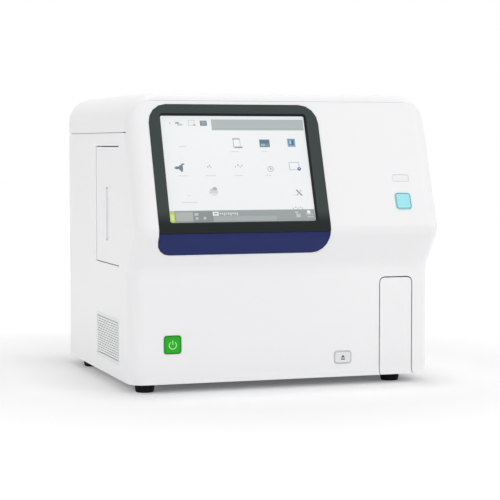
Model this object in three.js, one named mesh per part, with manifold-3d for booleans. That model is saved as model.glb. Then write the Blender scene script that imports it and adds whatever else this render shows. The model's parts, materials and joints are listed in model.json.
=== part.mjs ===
// A bench-top hematology analyzer: moulded covers on a sheet metal chassis, a touch screen on the
// leaning front, a motor driven sample drawer, a piercing needle over it and a reagent bay at the left.
// Millimetres, +Z up, front towards -Y. The origin is on the floor, under the centre of the whole.
import * as THREE from 'three';
import { mergeVertices } from 'three/addons/utils/BufferGeometryUtils.js';
import Module from 'manifold-3d';

const wasm = await Module();
wasm.setup();

// Body, over the covers
const bodyWidth = 450;
const bodyHeight = 402.5;
const bodyDepth = 432;
const footHeight = 12;
const portReach = 14;
const wall = 3;
const sheet = 2;
const boardThickness = 1.6;

// Clearances: between the front and the other covers, along the shoulder, between seated pieces,
// between sliding pieces, and past a cut
const seamGap = 0.4;
const shoulderGap = 1.2;
const seatGap = 0.3;
const runGap = 0.35;
const overrun = 6;

// Front profile, heights above the underside of the body, angles in degrees
const noseReach = 40;
const hollowTopMargin = 257.5;
const hollowStart = bodyHeight - hollowTopMargin;
const hollowRadius = 35;
const underAngle = 38.5;
const noseRadius = 17;
const leanAngle = 19.88;
const brimRadius = 9;
const lipReach = 4.5;
const lipHeight = 9;

// Edges of the body in plan and from the front
const frontEdgeRadius = 21;
const rearEdgeRadius = 14;
const crownRadius = 36;
const heelRadius = 16;

// Seams between the covers
const frontCoverDepth = 23.7;
const topCoverHeight = 54.3;
const topCoverStart = bodyHeight - topCoverHeight;
const rearReturn = 20;
const rearCrownReturn = 36;
const rearPanelMargin = 30;
const frontRibCount = 3;
const frontRibDepth = 8;
const crownRibCount = 2;
const crownRibDepth = 6;

// Feet, places measured from the lower face, from the rear and in from the sides
const footRadius = 14.4;
const footTaper = 1.6;
const footEdgeRadius = 1.5;
const frontLeftFootMargin = 25;
const frontLeftFootY = 18.5;
const frontRightFootMargin = 53;
const frontRightFootY = 25;
const rearFootMargin = 21;
const rearFootDepth = 76;

// Shield of the display: dark bezel above, blue trim below, in from the body's sides and top and
// above the hollow
const shieldLeftMargin = 31;
const shieldRightMargin = 170.5;
const shieldTopMargin = 15.2;
const trimGap = 35;
const trimHeight = 30.4;
const shieldTopRadius = 26;
const shieldBottomRadius = 20;
const bezelProud = 0.8;
const bezelFlange = 5;
const bezelGap = 0.4;

// Screen, in the leaning face: in from the shield, and up the slope from the end of the nose
const screenLeftMargin = 17.8;
const screenRightMargin = 20.2;
const screenTopMargin = 16.2;
const screenStart = 8;
const screenEdgeBevel = 3;
const screenOverlap = 3;
const glassThickness = 2.2;
const panelMargin = 5;
const panelThickness = 7.5;
const bracketMargin = 8;
const bracketEar = 6;
const bracketRim = 5;
const displayBossRadius = 4;
const displayBossReach = 11;
const displayBossSpread = 45;

// Buttons: centre in from the side, centre up, width, height, corner, travel
const startMargin = 55.2;
const startUp = 34;
const startWidth = 23.6;
const startHeight = 24;
const startCorner = 4;
const startTravel = 2;
const powerMargin = 60.4;
const powerUp = 54.3;
const powerWidth = 24.7;
const powerHeight = 25.3;
const powerCorner = 3.5;
const powerTravel = 2.5;
const ejectMargin = 136.3;
const ejectUp = 27.2;
const ejectWidth = 25.9;
const ejectHeight = 17.7;
const ejectCorner = 4;
const ejectTravel = 1.5;
const buttonProud = 1;
const buttonGap = 0.5;
const buttonEdge = 0.6;
const buttonFlange = 2.5;
const buttonFlangeThickness = 1.2;
const buttonStemRadius = 3;
const buttonStemLength = 10;
const switchRim = 2;
const switchSpace = 1;
const switchBase = 5;

// Status window above the start button
const windowMargin = 54.7;
const windowUp = 68.5;
const windowWidth = 24.6;
const windowHeight = 10;
const windowCorner = 2;
const windowSink = 0.3;

// Sample drawer in the right of the front
const drawerMargin = 78.6;
const drawerWidth = 48.9;
const drawerTopMargin = 5;
const drawerCorner = 6.5;
const drawerGap = 1.6;
const carriageWidth = 36;
const carriageLength = 140;
const carriageFloor = 3;
const carriageSide = 2.5;
const carriageSideHeight = 16;
const carriageFrontHeight = 70;
const carriageFrontThickness = 3;
const railWidth = 26;
const railHeight = 12;
const railFloor = 3;
const railLip = 2.8;
const runnerWidth = 15.4;
const runnerNeck = 9.4;
const toothModule = 1.5;
const pinionTeeth = 14;
const rackBacking = 1;
const rackThickness = 6;
const pinionThickness = 5;
const pinionShaftRadius = 2;
const pinionSetBack = 18;
const motorRadius = 12.5;
const motorHeight = 24;
const motorBossRadius = 5;

// Tube and its holder
const tubeSetBack = 38;
const tubeRadius = 6.5;
const tubeWall = 1.1;
const tubeLength = 75;
const capRadius = 8.2;
const capSkirt = 12;
const capTop = 5;
const septumRadius = 1.8;
const holderWidth = 28;
const holderHeight = 48;
const holderCorner = 5;
const holderFloor = 4;
const holderSlot = 9;

// Piercer over the tube
const piercerWidth = 70;
const piercerTopMargin = 117.5;
const piercerSetBack = 33;
const piercerLug = 34;
const piercerArch = 62;
const piercerArchSide = 6;
const piercerLugRise = 30;
const guideRadius = 3;
const guideSpread = 12;
const needleRadius = 1;
const needleStroke = 60;
const needleClear = 4;
const needleArmThickness = 8;
const carriageBlockHeight = 26;
const carriageBlockDepth = 16;
const carriageBlockWidth = 40;
const piercerMotorWidth = 28;
const piercerMotorHeight = 30;

// Reagent door in the left side, behind the lower face and under the top cover
const doorFront = 62;
const sideShare = 0.3495;
const doorWidth = (bodyDepth - noseReach) * sideShare;
const doorShare = 0.4015;
const doorTopMargin = 20.1;
const doorGap = 1.5;
const doorSideGap = 0.45;
const hingeRadius = 6;
const hingePinRadius = 1.5;
const hingePinReach = 5;
const gripStartShare = 0.1886;
const gripShare = 0.4685;
const gripWidth = 14;
const gripDepth = 5.4;
const gripTaper = 1.6;
const gripWall = 1.6;
const bayDepth = 66;
const bayFlange = 14;
const bayWindowMargin = 10;
const bottleWidth = 46;
const bottleDepth = 54;
const bottleTopMargin = 62.5;
const bottleCorner = 7;
const bottleNeckRadius = 10;
const bottleCapRadius = 14;
const bottleCapHeight = 14;
const bottleShoulder = 6;

// Vent in the left side
const ventFront = 62;
const ventWidth = doorWidth;
const ventBottom = 21;
const ventHeight = 64;
const ventSlats = 16;
const ventFrame = 4;
const ventSlatThickness = 2.4;

// Chassis
const panFlange = 8;
const frameWindowMargin = 28;
const frameTopDrop = 37;
const frameNotch = 46;
const frameReturn = 18;
const midPlateSetBack = 6;
const midPlateTopMargin = 72.5;
const midPlateMargin = 12;
const midSlotWidth = 90;
const midSlotHeight = 40;

// Rear panel and what it carries
const fanSize = 80;
const fanDepth = 25;
const fanMargin = 105;
const fanTopMargin = 102.5;
const fanBoreRadius = 37;
const fanHubRadius = 15;
const fanBladeCount = 7;
const fanBladeChord = 17;
const fanBladeAngle = 35;
const fanBladeThickness = 1.6;
const fanTipGap = 1.5;
const fanSpokeWidth = 4;
const grilleRings = 3;
const grilleSectors = 4;
const grilleBar = 5;
const inletMargin = 75;
const inletUp = 52;
const inletWidth = 32;
const inletHeight = 58;
const inletDepth = 32;
const inletProud = 2;
const inletFlange = 4;
const socketWidth = 24;
const socketHeight = 17;
const socketDepth = 15;
const socketPinWidth = 2;
const socketPinHeight = 4;
const socketPinSink = 5;
const rockerWidth = 20;
const rockerHeight = 22;
const rockerRadius = 14;
const rockerTilt = 8;
const portsMargin = 75;
const portsUp = 60;
const portCount = 3;
const portPitch = 30;
const portRadius = 4;
const portBarb = 1.2;
const portPlateMargin = 16;
const portPlateThickness = 2;
const socketsAcross = -20;
const socketsUp = 70;
const interfaceWidth = 110;
const interfaceHeight = 46;
const jackWidths = [16, 14, 14];
const jackHeight = 13;
const jackDepth = 16;
const jackPitch = 32;

// Inner units
const detectorWidth = 96;
const detectorDepth = 84;
const detectorHeight = 62;
const detectorTubeRadius = 13;
const detectorTubeReach = 28;
const detectorFoot = 8;
const detectorX = -78;
const detectorSetBack = 96;
const reactionWidth = 54;
const reactionDepth = 40;
const reactionHeight = 70;
const reactionCupRadius = 9;
const reactionCupDepth = 34;
const reactionX = 42;
const reactionSetBack = 130;
const syringeWidth = 34;
const syringeDepth = 30;
const syringeHeight = 150;
const syringeBoreRadius = 7;
const syringeX = 34;
const syringeSetBack = 62;
const syringeStroke = 40;
const plungerRadius = 6.5;
const plungerRodRadius = 3;
const plungerHead = 8;
const valveCount = 6;
const valveRadius = 9;
const valvePitch = 24;
const valveReach = 26;
const valveBlockHeight = 26;
const valveBlockThickness = 16;
const valveX = 10;
const valveTopMargin = 110;
const pumpWidth = 84;
const pumpDepth = 60;
const pumpHeight = 46;
const pumpHeadRadius = 20;
const pumpHeadHeight = 26;
const pumpMargin = 75;
const supplyWidth = 150;
const supplyRearMargin = 49.7;
const supplyHeight = 44;
const supplyX = 60;
const supplyRibCount = 6;
const mainBoardWidth = 210;
const mainBoardShare = 0.4545;
const mainBoardTopMargin = 20;
const mainBoardX = -60;
const chipWidths = [34, 24, 46, 20];
const chipHeight = 6;
const unitSetBack = 24;

// Facets of an arc and a small arc, of the nose and the crown, of a turned piece and a small one,
// and of the fan's grille
const arcSteps = 4;
const smallArcSteps = 3;
const noseSteps = 6;
const crownSteps = 6;
const turnSteps = 18;
const grilleSteps = 3;
const smallTurnSteps = 10;

// What follows from them
const rad = THREE.MathUtils.degToRad;
const under = rad(underAngle);
const lean = rad(leanAngle);
const halfWidth = bodyWidth / 2;
const floorZ = footHeight;
const topZ = floorZ + bodyHeight;
const noseY = -(bodyDepth + portReach - bezelProud) / 2;
const faceY = noseY + noseReach;
const rearY = noseY + bodyDepth;
const seamY = faceY + frontCoverDepth;
const shoulderZ = floorZ + topCoverStart;
const hollowY = faceY - hollowRadius;
const hollowZ = floorZ + hollowStart;
const noseCentreY = noseY + noseRadius;
const noseCentreZ = hollowZ
  + ((hollowY - noseCentreY) * Math.cos(under) + noseRadius + hollowRadius) / Math.sin(under);
const leanStartY = noseCentreY - noseRadius * Math.cos(lean);
const leanStartZ = noseCentreZ + noseRadius * Math.sin(lean);
const brimZ = topZ - brimRadius;
const brimY = leanStartY + ((brimZ - leanStartZ) * Math.sin(lean) + brimRadius) / Math.cos(lean);
const creaseZ = leanStartZ + (seamY - leanStartY) / Math.tan(lean);
const panTop = floorZ + sheet;
const farOut = bodyWidth + bodyDepth + bodyHeight;
const shieldLeft = shieldLeftMargin - halfWidth;
const shieldRight = halfWidth - shieldRightMargin;
const shieldBottom = hollowStart + trimGap;
const shieldTop = bodyHeight - shieldTopMargin;
const trimTop = shieldBottom + trimHeight;
const screenLeft = shieldLeft + screenLeftMargin;
const screenWidth = shieldRight - screenRightMargin - screenLeft;
const screenHeight = (floorZ + shieldTop - leanStartZ) / Math.cos(lean) - screenTopMargin - screenStart;
const startAcross = halfWidth - startMargin;
const windowAcross = halfWidth - windowMargin;
const ejectAcross = halfWidth - ejectMargin;
const powerAcross = powerMargin - halfWidth;
const drawerLeft = halfWidth - drawerMargin;
const drawerHeight = hollowStart - drawerTopMargin;
const doorBottom = bodyHeight * doorShare;
const doorHeight = topCoverStart - doorTopMargin - doorBottom;
const gripBottom = doorHeight * gripStartShare;
const gripHeight = doorHeight * gripShare;
const bottleHeight = doorHeight - bottleTopMargin;
const piercerHeight = bodyHeight - piercerTopMargin;
const midPlateHeight = bodyHeight - midPlateTopMargin;
const mainBoardUp = midPlateHeight * mainBoardShare;
const mainBoardHeight = midPlateHeight - mainBoardTopMargin - mainBoardUp;
const valveUp = midPlateHeight - valveTopMargin;
const fanAcross = halfWidth - fanMargin;
const fanUp = bodyHeight - fanTopMargin;
const inletAcross = halfWidth - inletMargin;
const portsAcross = portsMargin - halfWidth;
const pumpX = pumpMargin - halfWidth;
const rearPlateY1 = rearY - wall - seatGap;
const rearPlateY0 = rearPlateY1 - sheet;

// Solids: a three.js geometry, closed and facing out, is cut and joined as a manifold.
function facingOut(geometry) {
  const bare = geometry.clone();
  bare.deleteAttribute('normal');
  bare.deleteAttribute('uv');
  const merged = mergeVertices(bare);
  const place = merged.attributes.position;
  const old = merged.index.array;
  const kept = [];
  const a = new THREE.Vector3();
  const b = new THREE.Vector3();
  const c = new THREE.Vector3();
  let volume = 0;
  for (let i = 0; i < old.length; i += 3) {
    const [p, q, r] = [old[i], old[i + 1], old[i + 2]];
    if (p === q || q === r || r === p) continue;
    a.fromBufferAttribute(place, p);
    b.fromBufferAttribute(place, q);
    c.fromBufferAttribute(place, r);
    volume += a.dot(b.cross(c));
    kept.push(p, q, r);
  }
  if (volume < 0) kept.reverse();
  merged.setIndex(kept);
  return merged;
}

function solidOf(geometry) {
  const closed = facingOut(geometry);
  return new wasm.Manifold(new wasm.Mesh({
    numProp: 3,
    vertProperties: new Float32Array(closed.attributes.position.array),
    triVerts: new Uint32Array(closed.index.array),
  }));
}

function geometryOf(solid) {
  const mesh = solid.getMesh();
  const geometry = new THREE.BufferGeometry();
  geometry.setAttribute('position', new THREE.BufferAttribute(mesh.vertProperties, 3));
  geometry.setIndex(new THREE.BufferAttribute(mesh.triVerts, 1));
  return geometry;
}

const joined = (...pieces) => geometryOf(pieces.map(solidOf).reduce((all, next) => all.add(next)));
const common = (first, second) => geometryOf(solidOf(first).intersect(solidOf(second)));
function cut(piece, ...tools) {
  return geometryOf(tools.map(solidOf).reduce((rest, tool) => rest.subtract(tool), solidOf(piece)));
}

// Outlines
function roundedPoints(x0, x1, y0, y1, radii, steps = arcSteps) {
  const corners = [[x0, y0, 1, 1], [x1, y0, -1, 1], [x1, y1, -1, -1], [x0, y1, 1, -1]];
  return corners.flatMap(([x, y, inX, inY], corner) => {
    const radius = Array.isArray(radii) ? radii[corner] : radii;
    if (radius === 0) return [new THREE.Vector2(x, y)];
    return Array.from({ length: steps + 1 }, (_, step) => {
      const turn = Math.PI * (1 + (corner + step / steps) / 2);
      return new THREE.Vector2(x + inX * radius + radius * Math.cos(turn), y + inY * radius + radius * Math.sin(turn));
    });
  });
}

const plate = (x0, x1, y0, y1, radii = 0, steps = smallArcSteps) =>
  new THREE.Shape(roundedPoints(x0, x1, y0, y1, radii, steps));

function plateWithHoles(outline, holes) {
  outline.holes = holes.map((hole) => new THREE.Path(hole.getPoints()));
  return outline;
}

const disc = (x, y, radius, steps = smallTurnSteps) => new THREE.Shape(
  Array.from({ length: steps }, (_, step) => {
    const turn = (2 * Math.PI * step) / steps;
    return new THREE.Vector2(x + radius * Math.cos(turn), y + radius * Math.sin(turn));
  }),
);

// Prisms: an outline in plan carried along Z, one from the front along Y, one from the side along X
const alongZ = (outline, z0, z1) =>
  new THREE.ExtrudeGeometry(outline, { depth: z1 - z0, bevelEnabled: false }).translate(0, 0, z0);
const alongY = (outline, y0, y1) =>
  new THREE.ExtrudeGeometry(outline, { depth: y1 - y0, bevelEnabled: false })
    .rotateX(Math.PI / 2).translate(0, y1, 0);
const sideways = new THREE.Matrix4().makeBasis(
  new THREE.Vector3(0, 1, 0),
  new THREE.Vector3(0, 0, 1),
  new THREE.Vector3(1, 0, 0),
);
const alongX = (outline, x0, x1) =>
  new THREE.ExtrudeGeometry(outline, { depth: x1 - x0, bevelEnabled: false })
    .applyMatrix4(sideways).translate(x0, 0, 0);
const block = (x0, x1, y0, y1, z0, z1) =>
  new THREE.BoxGeometry(x1 - x0, y1 - y0, z1 - z0).translate((x0 + x1) / 2, (y0 + y1) / 2, (z0 + z1) / 2);

// A profile of radius and height turned about an upright axis
const turned = (x, y, profile, steps = turnSteps) =>
  new THREE.LatheGeometry(profile.map(([radius, height]) => new THREE.Vector2(radius, height)), steps)
    .rotateX(Math.PI / 2).translate(x, y, 0);

// A skin over sections with the same number of points, with a flat face at each end
function loft(sections) {
  const count = sections[0].length;
  const last = (sections.length - 1) * count;
  const index = [];
  for (let i = 0; i < last; i += count) {
    for (let j = 0; j < count; j += 1) {
      const next = (j + 1) % count;
      index.push(i + j, i + next, i + count + next, i + j, i + count + next, i + count + j);
    }
  }
  for (let j = 1; j < count - 1; j += 1) {
    index.push(0, j + 1, j, last, last + j, last + j + 1);
  }
  const geometry = new THREE.BufferGeometry();
  const places = sections.flat().flatMap((point) => point.toArray());
  geometry.setAttribute('position', new THREE.Float32BufferAttribute(places, 3));
  geometry.setIndex(index);
  return geometry;
}

// The body's form, set in from the outer surface by inset. It is a stack of plan sections: each
// has its front edge on the front profile and its width under the arc of the crown.
function frontAt(z, inset) {
  const hollow = hollowRadius + inset;
  const nose = noseRadius - inset;
  const brim = brimRadius - inset;
  const hollowEnd = hollowZ + hollow * Math.sin(under);
  const noseStart = noseCentreZ - nose * Math.sin(under);
  const noseEnd = noseCentreZ + nose * Math.sin(lean);
  const rise = THREE.MathUtils.clamp((z - floorZ) / lipHeight, 0, 1);
  if (z < hollowZ) return faceY + inset - lipReach * (1 - rise) ** 2;
  if (z < hollowEnd) return hollowY + Math.sqrt(hollow ** 2 - (z - hollowZ) ** 2);
  if (z < noseStart) return hollowY + hollow * Math.cos(under) - (z - hollowEnd) * Math.tan(under);
  if (z < noseEnd) return noseCentreY - Math.sqrt(nose ** 2 - (z - noseCentreZ) ** 2);
  if (z < brimZ + brim * Math.sin(lean)) {
    return noseCentreY - nose * Math.cos(lean) + (z - noseEnd) * Math.tan(lean);
  }
  return brimY - Math.sqrt(Math.max(0, brim ** 2 - (z - brimZ) ** 2));
}

function shrinkAt(z, radius, inset) {
  const rise = z - (topZ - radius);
  return rise <= 0 ? inset : radius - Math.sqrt(Math.max(0, (radius - inset) ** 2 - rise ** 2));
}

const sweep = (steps, from, to, at) =>
  Array.from({ length: steps + 1 }, (_, step) => at(from + ((to - from) * step) / steps));

function bodyForm(inset, bottom = floorZ) {
  const heights = [
    bottom,
    ...sweep(2, Math.max(bottom, floorZ), floorZ + lipHeight, (z) => z),
    ...sweep(arcSteps, 0, under, (turn) => hollowZ + (hollowRadius + inset) * Math.sin(turn)),
    ...sweep(noseSteps, -under, lean, (turn) => noseCentreZ + (noseRadius - inset) * Math.sin(turn)),
    ...sweep(crownSteps, 0, Math.PI / 2, (turn) => topZ - crownRadius + (crownRadius - inset) * Math.sin(turn)),
  ].filter((z, place, all) => place === 0 || z > all[place - 1]);
  const edge = frontEdgeRadius - inset;
  const rearEdge = rearEdgeRadius - inset;
  return loft(heights.map((z) => {
    const half = halfWidth - shrinkAt(z, crownRadius, inset);
    const rear = rearY - shrinkAt(z, rearEdgeRadius, inset);
    return roundedPoints(-half, half, frontAt(z, inset), rear, [edge, edge, rearEdge, rearEdge])
      .map((point) => new THREE.Vector3(point.x, point.y, z));
  }));
}

const layer = (outside, inside) => cut(bodyForm(outside), bodyForm(inside, floorZ - overrun));

// The leaning face and the lower face as places for what sits square to them: X across, Y up the
// face, Z out of it
const leanPlace = new THREE.Matrix4()
  .makeRotationX(Math.PI / 2 - lean).setPosition(0, leanStartY, leanStartZ);
const facePlace = new THREE.Matrix4().makeRotationX(Math.PI / 2).setPosition(0, faceY, floorZ);
const onLean = (geometry) => geometry.applyMatrix4(leanPlace);
const onFace = (geometry) => geometry.applyMatrix4(facePlace);

// Colour, roughness and metalness of each finish
const finishes = {
  white: [0xf1f3f4, 0.42, 0],
  paleGrey: [0xcfd2d1, 0.5, 0],
  darkGrey: [0x424a48, 0.38, 0],
  blue: [0x343a6a, 0.4, 0],
  screen: [0xe9eef1, 0.12, 0],
  cyan: [0xa4ecf0, 0.35, 0],
  green: [0x3aae34, 0.35, 0],
  keyGrey: [0xe6e8e8, 0.4, 0],
  black: [0x1b1d1d, 0.7, 0],
  steel: [0xb9bdbf, 0.35, 0.9],
  zinc: [0xc6cacb, 0.45, 0.75],
  board: [0x2f6b3c, 0.55, 0],
  moulding: [0x8f9698, 0.55, 0],
  clear: [0xdfe9ec, 0.1, 0],
  lilac: [0x8d6fb5, 0.45, 0],
  amber: [0x8a5a2c, 0.3, 0],
  brass: [0xb89a5a, 0.35, 0.8],
};

const analyzer = new THREE.Group();
analyzer.name = 'hematology_analyzer';

function add(name, geometry, finish, group = analyzer) {
  const [color, roughness, metalness] = finishes[finish];
  const mesh = new THREE.Mesh(facingOut(geometry), new THREE.MeshStandardMaterial({ color, roughness, metalness }));
  mesh.name = name;
  group.add(mesh);
  return mesh;
}

// Outlines shared by the covers and what fills them
const doorY0 = faceY + doorFront;
const doorY1 = doorY0 + doorWidth;
const doorZ0 = floorZ + doorBottom;
const doorZ1 = doorZ0 + doorHeight;
const ventY0 = faceY + ventFront;
const ventY1 = ventY0 + ventWidth;
const ventZ0 = floorZ + ventBottom;
const ventZ1 = ventZ0 + ventHeight;
const drawerX = drawerLeft + drawerWidth / 2;
const shield = (grow, bottom = shieldBottom, top = shieldTop) => plate(
  shieldLeft - grow,
  shieldRight + grow,
  floorZ + bottom - grow,
  floorZ + top + grow,
  [
    bottom === shieldBottom ? shieldBottomRadius + grow : 0,
    bottom === shieldBottom ? shieldBottomRadius + grow : 0,
    top === shieldTop ? shieldTopRadius + grow : 0,
    top === shieldTop ? shieldTopRadius + grow : 0,
  ],
  arcSteps,
);
const drawerOutline = (grow) => plate(
  drawerLeft - grow,
  drawerLeft + drawerWidth + grow,
  floorZ - overrun,
  floorZ + drawerHeight + grow,
  [0, 0, drawerCorner + grow, drawerCorner + grow],
);
const keyOutline = (across, up, width, height, corner, grow) => plate(
  across - width / 2 - grow,
  across + width / 2 + grow,
  up - height / 2 - grow,
  up + height / 2 + grow,
  corner + grow,
);
const startOutline = (grow) => keyOutline(startAcross, startUp, startWidth, startHeight, startCorner, grow);
const powerOutline = (grow) => keyOutline(powerAcross, powerUp, powerWidth, powerHeight, powerCorner, grow);
const ejectOutline = (grow) => keyOutline(ejectAcross, ejectUp, ejectWidth, ejectHeight, ejectCorner, grow);
const windowOutline = (grow) => keyOutline(windowAcross, windowUp, windowWidth, windowHeight, windowCorner, grow);
const throughWall = (outline) => alongZ(outline, -wall - overrun, overrun);

// Stack of the display behind the leaning face, each seated behind the one before
const glassTop = -wall - seatGap;
const panelTop = glassTop - glassThickness - seatGap;
const bracketTop = panelTop - panelThickness - seatGap;
const screenMiddleV = screenStart + screenHeight / 2;
const bossOut = bezelFlange + displayBossRadius + seatGap * 2;
const displayBosses = [shieldLeft - bossOut, shieldRight + bossOut].flatMap((across) => [
  [across, screenMiddleV - displayBossSpread],
  [across, screenMiddleV + displayBossSpread],
]);

// Covers: one shell, its lower edge rounded along the right and square along the left
const bodyShell = (() => {
  const heels = alongY(
    plate(-halfWidth, halfWidth, floorZ, topZ + overrun, [0, heelRadius, 0, 0], arcSteps),
    -farOut,
    farOut,
  );
  const innerHeels = (lip) => joined(
    alongY(
      plate(
        wall - halfWidth,
        halfWidth - wall,
        floorZ + wall,
        topZ,
        [0, heelRadius - wall, 0, 0],
        arcSteps,
      ),
      -farOut,
      farOut,
    ),
    block(lip - halfWidth, halfWidth - lip, -farOut, farOut, floorZ - overrun, floorZ + wall + overrun),
  );
  const outer = common(bodyForm(0), heels);
  const inner = bodyForm(wall, floorZ - overrun);
  return {
    front: cut(outer, common(inner, innerHeels(frontEdgeRadius))),
    rest: cut(outer, common(inner, innerHeels(heelRadius))),
  };
})();

// The front and top covers part on an upright plane, and on the leaning face square to it
function creaseLip(shift) {
  const crease = new THREE.Vector2(seamY + shift * Math.sin(lean), creaseZ + shift * Math.cos(lean));
  const out = new THREE.Vector2(-Math.cos(lean), Math.sin(lean));
  const outline = new THREE.Shape([
    crease.clone().addScaledVector(out, overrun),
    crease.clone().addScaledVector(out, -wall - seatGap),
    new THREE.Vector2(crease.x + (wall + seatGap) * Math.cos(lean), creaseZ - crownRadius),
    new THREE.Vector2(crease.x - overrun, creaseZ - crownRadius),
  ]);
  return alongX(outline, crownRadius - halfWidth + seamGap, halfWidth - crownRadius - seamGap);
}

const ahead = block(-farOut, farOut, -farOut, seamY - seamGap / 2, -farOut, farOut);
const behind = block(-farOut, farOut, seamY + seamGap / 2, farOut, -farOut, farOut);

const frontRibs = Array.from({ length: frontRibCount }, (_, rib) => {
  const x = powerAcross + ((ejectAcross - powerAcross) * (rib + 1)) / (frontRibCount + 1);
  return block(x - sheet / 2, x + sheet / 2, faceY + wall / 2, faceY + wall + frontRibDepth, floorZ + panFlange * 2, hollowZ);
});
const bosses = displayBosses.map(([across, up]) => onLean(
  alongZ(disc(across, up, displayBossRadius), bracketTop + seatGap, -wall / 2),
));
const frontOpenings = [
  alongY(shield(bezelGap), noseY - overrun, seamY + overrun * 2),
  alongY(drawerOutline(drawerGap), noseY - overrun, seamY),
  onLean(throughWall(startOutline(buttonGap))),
  onLean(throughWall(windowOutline(seatGap))),
  onFace(throughWall(powerOutline(buttonGap))),
  onFace(throughWall(ejectOutline(buttonGap))),
];
add(
  'front_cover',
  joined(cut(common(bodyShell.front, joined(ahead, creaseLip(-seamGap / 2))), ...frontOpenings), ...frontRibs, ...bosses),
  'white',
);

const crownRibs = Array.from({ length: crownRibCount }, (_, rib) => {
  const y = seamY + ((rearY - seamY) * (rib + 1)) / (crownRibCount + 1);
  return block(
    crownRadius - halfWidth,
    halfWidth - crownRadius,
    y - sheet / 2,
    y + sheet / 2,
    topZ - wall - crownRibDepth,
    topZ - wall / 2,
  );
});
add(
  'top_cover',
  joined(
    cut(
      common(bodyShell.rest, common(behind, block(-farOut, farOut, -farOut, farOut, shoulderZ + shoulderGap / 2, farOut))),
      creaseLip(seamGap / 2),
      block(
        rearReturn - halfWidth,
        halfWidth - rearReturn,
        rearY - wall * 2,
        farOut,
        -farOut,
        topZ - rearCrownReturn,
      ),
    ),
    ...crownRibs,
  ),
  'white',
);

function sidePanel(x0, x1) {
  return common(bodyShell.rest, common(behind, block(x0, x1, -farOut, farOut, -farOut, shoulderZ - shoulderGap / 2)));
}
const doorOpening = plate(doorY0 - doorSideGap, doorY1 + doorSideGap, doorZ0 - doorGap, doorZ1 + doorGap);
const ventOpening = plate(ventY0 - seatGap, ventY1 + seatGap, ventZ0 - seatGap, ventZ1 + seatGap);
add(
  'left_side_panel',
  cut(
    sidePanel(-farOut, rearReturn - halfWidth),
    alongX(doorOpening, -halfWidth - overrun, overrun - halfWidth + wall),
    alongX(ventOpening, -halfWidth - overrun, overrun - halfWidth + wall),
  ),
  'white',
);
add('right_side_panel', sidePanel(halfWidth - rearReturn, farOut), 'white');

// Vent grille: a frame flush with the panel, with slats across it, on a flange behind the panel,
// and a filter mat in the frame behind the slats
function ventGrille() {
  const inner = plate(ventY0 + ventFrame, ventY1 - ventFrame, ventZ0 + ventFrame, ventZ1 - ventFrame);
  const rim = alongX(plateWithHoles(plate(ventY0, ventY1, ventZ0, ventZ1), [inner]), -halfWidth, wall + seatGap - halfWidth + sheet);
  const flange = alongX(
    plateWithHoles(
      plate(ventY0 - ventFrame, ventY1 + ventFrame, ventZ0 - ventFrame, ventZ1 + ventFrame),
      [plate(ventY0 + ventFrame, ventY1 - ventFrame, ventZ0 + ventFrame, ventZ1 - ventFrame)],
    ),
    wall + seatGap - halfWidth,
    wall + seatGap - halfWidth + sheet,
  );
  const pitch = (ventHeight - ventFrame * 2) / ventSlats;
  const slats = Array.from({ length: ventSlats - 1 }, (_, slat) => {
    const z = ventZ0 + ventFrame + pitch * (slat + 1);
    return block(
      -halfWidth,
      wall - halfWidth,
      ventY0 + ventFrame / 2,
      ventY1 - ventFrame / 2,
      z - ventSlatThickness / 2,
      z + ventSlatThickness / 2,
    );
  });
  return joined(rim, flange, ...slats);
}
add('left_vent_grille', ventGrille(), 'paleGrey');
add(
  'vent_filter',
  alongX(
    plate(
      ventY0 + ventFrame + seatGap,
      ventY1 - ventFrame - seatGap,
      ventZ0 + ventFrame + seatGap,
      ventZ1 - ventFrame - seatGap,
    ),
    wall + seatGap - halfWidth,
    wall + seatGap - halfWidth + sheet,
  ),
  'paleGrey',
);

// Display: the bezel and trim follow the body's form and stand a little proud of it
const bezelDepth = wall + seatGap + sheet;
const bezelLayer = layer(-bezelProud, bezelDepth);
const flangeLayer = layer(wall + seatGap, bezelDepth);
const screenCut = loft([
  roundedPoints(screenLeft, screenLeft + screenWidth, screenStart, screenStart + screenHeight, sheet)
    .map((point) => new THREE.Vector3(point.x, point.y, -wall - seatGap)),
  roundedPoints(
    screenLeft - screenEdgeBevel,
    screenLeft + screenWidth + screenEdgeBevel,
    screenStart - screenEdgeBevel,
    screenStart + screenHeight + screenEdgeBevel,
    sheet + screenEdgeBevel,
  ).map((point) => new THREE.Vector3(point.x, point.y, bezelProud + seatGap)),
]);
const glassLeft = screenLeft - screenOverlap;
const glassRight = screenLeft + screenWidth + screenOverlap;
const glassLow = screenStart - screenOverlap;
const glassHigh = screenStart + screenHeight + screenOverlap;
const glassPocket = alongZ(
  plate(glassLeft - seatGap, glassRight + seatGap, glassLow - seatGap, glassHigh + seatGap),
  -bezelDepth - overrun,
  -wall,
);
const bezelPart = (grow, bottom, top) => alongY(shield(grow, bottom, top), noseY - overrun, seamY + overrun * 2);
add(
  'display_bezel',
  cut(
    joined(
      common(bezelLayer, bezelPart(0, trimTop, shieldTop)),
      common(flangeLayer, cut(bezelPart(bezelFlange), block(-farOut, farOut, -farOut, farOut, 0, floorZ + trimTop))),
    ),
    onLean(screenCut),
    onLean(glassPocket),
  ),
  'darkGrey',
);
add(
  'lower_trim',
  joined(
    common(bezelLayer, bezelPart(0, shieldBottom, trimTop - seatGap)),
    common(
      flangeLayer,
      cut(bezelPart(bezelFlange), block(-farOut, farOut, -farOut, farOut, floorZ + trimTop - seatGap, farOut)),
    ),
  ),
  'blue',
);

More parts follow.
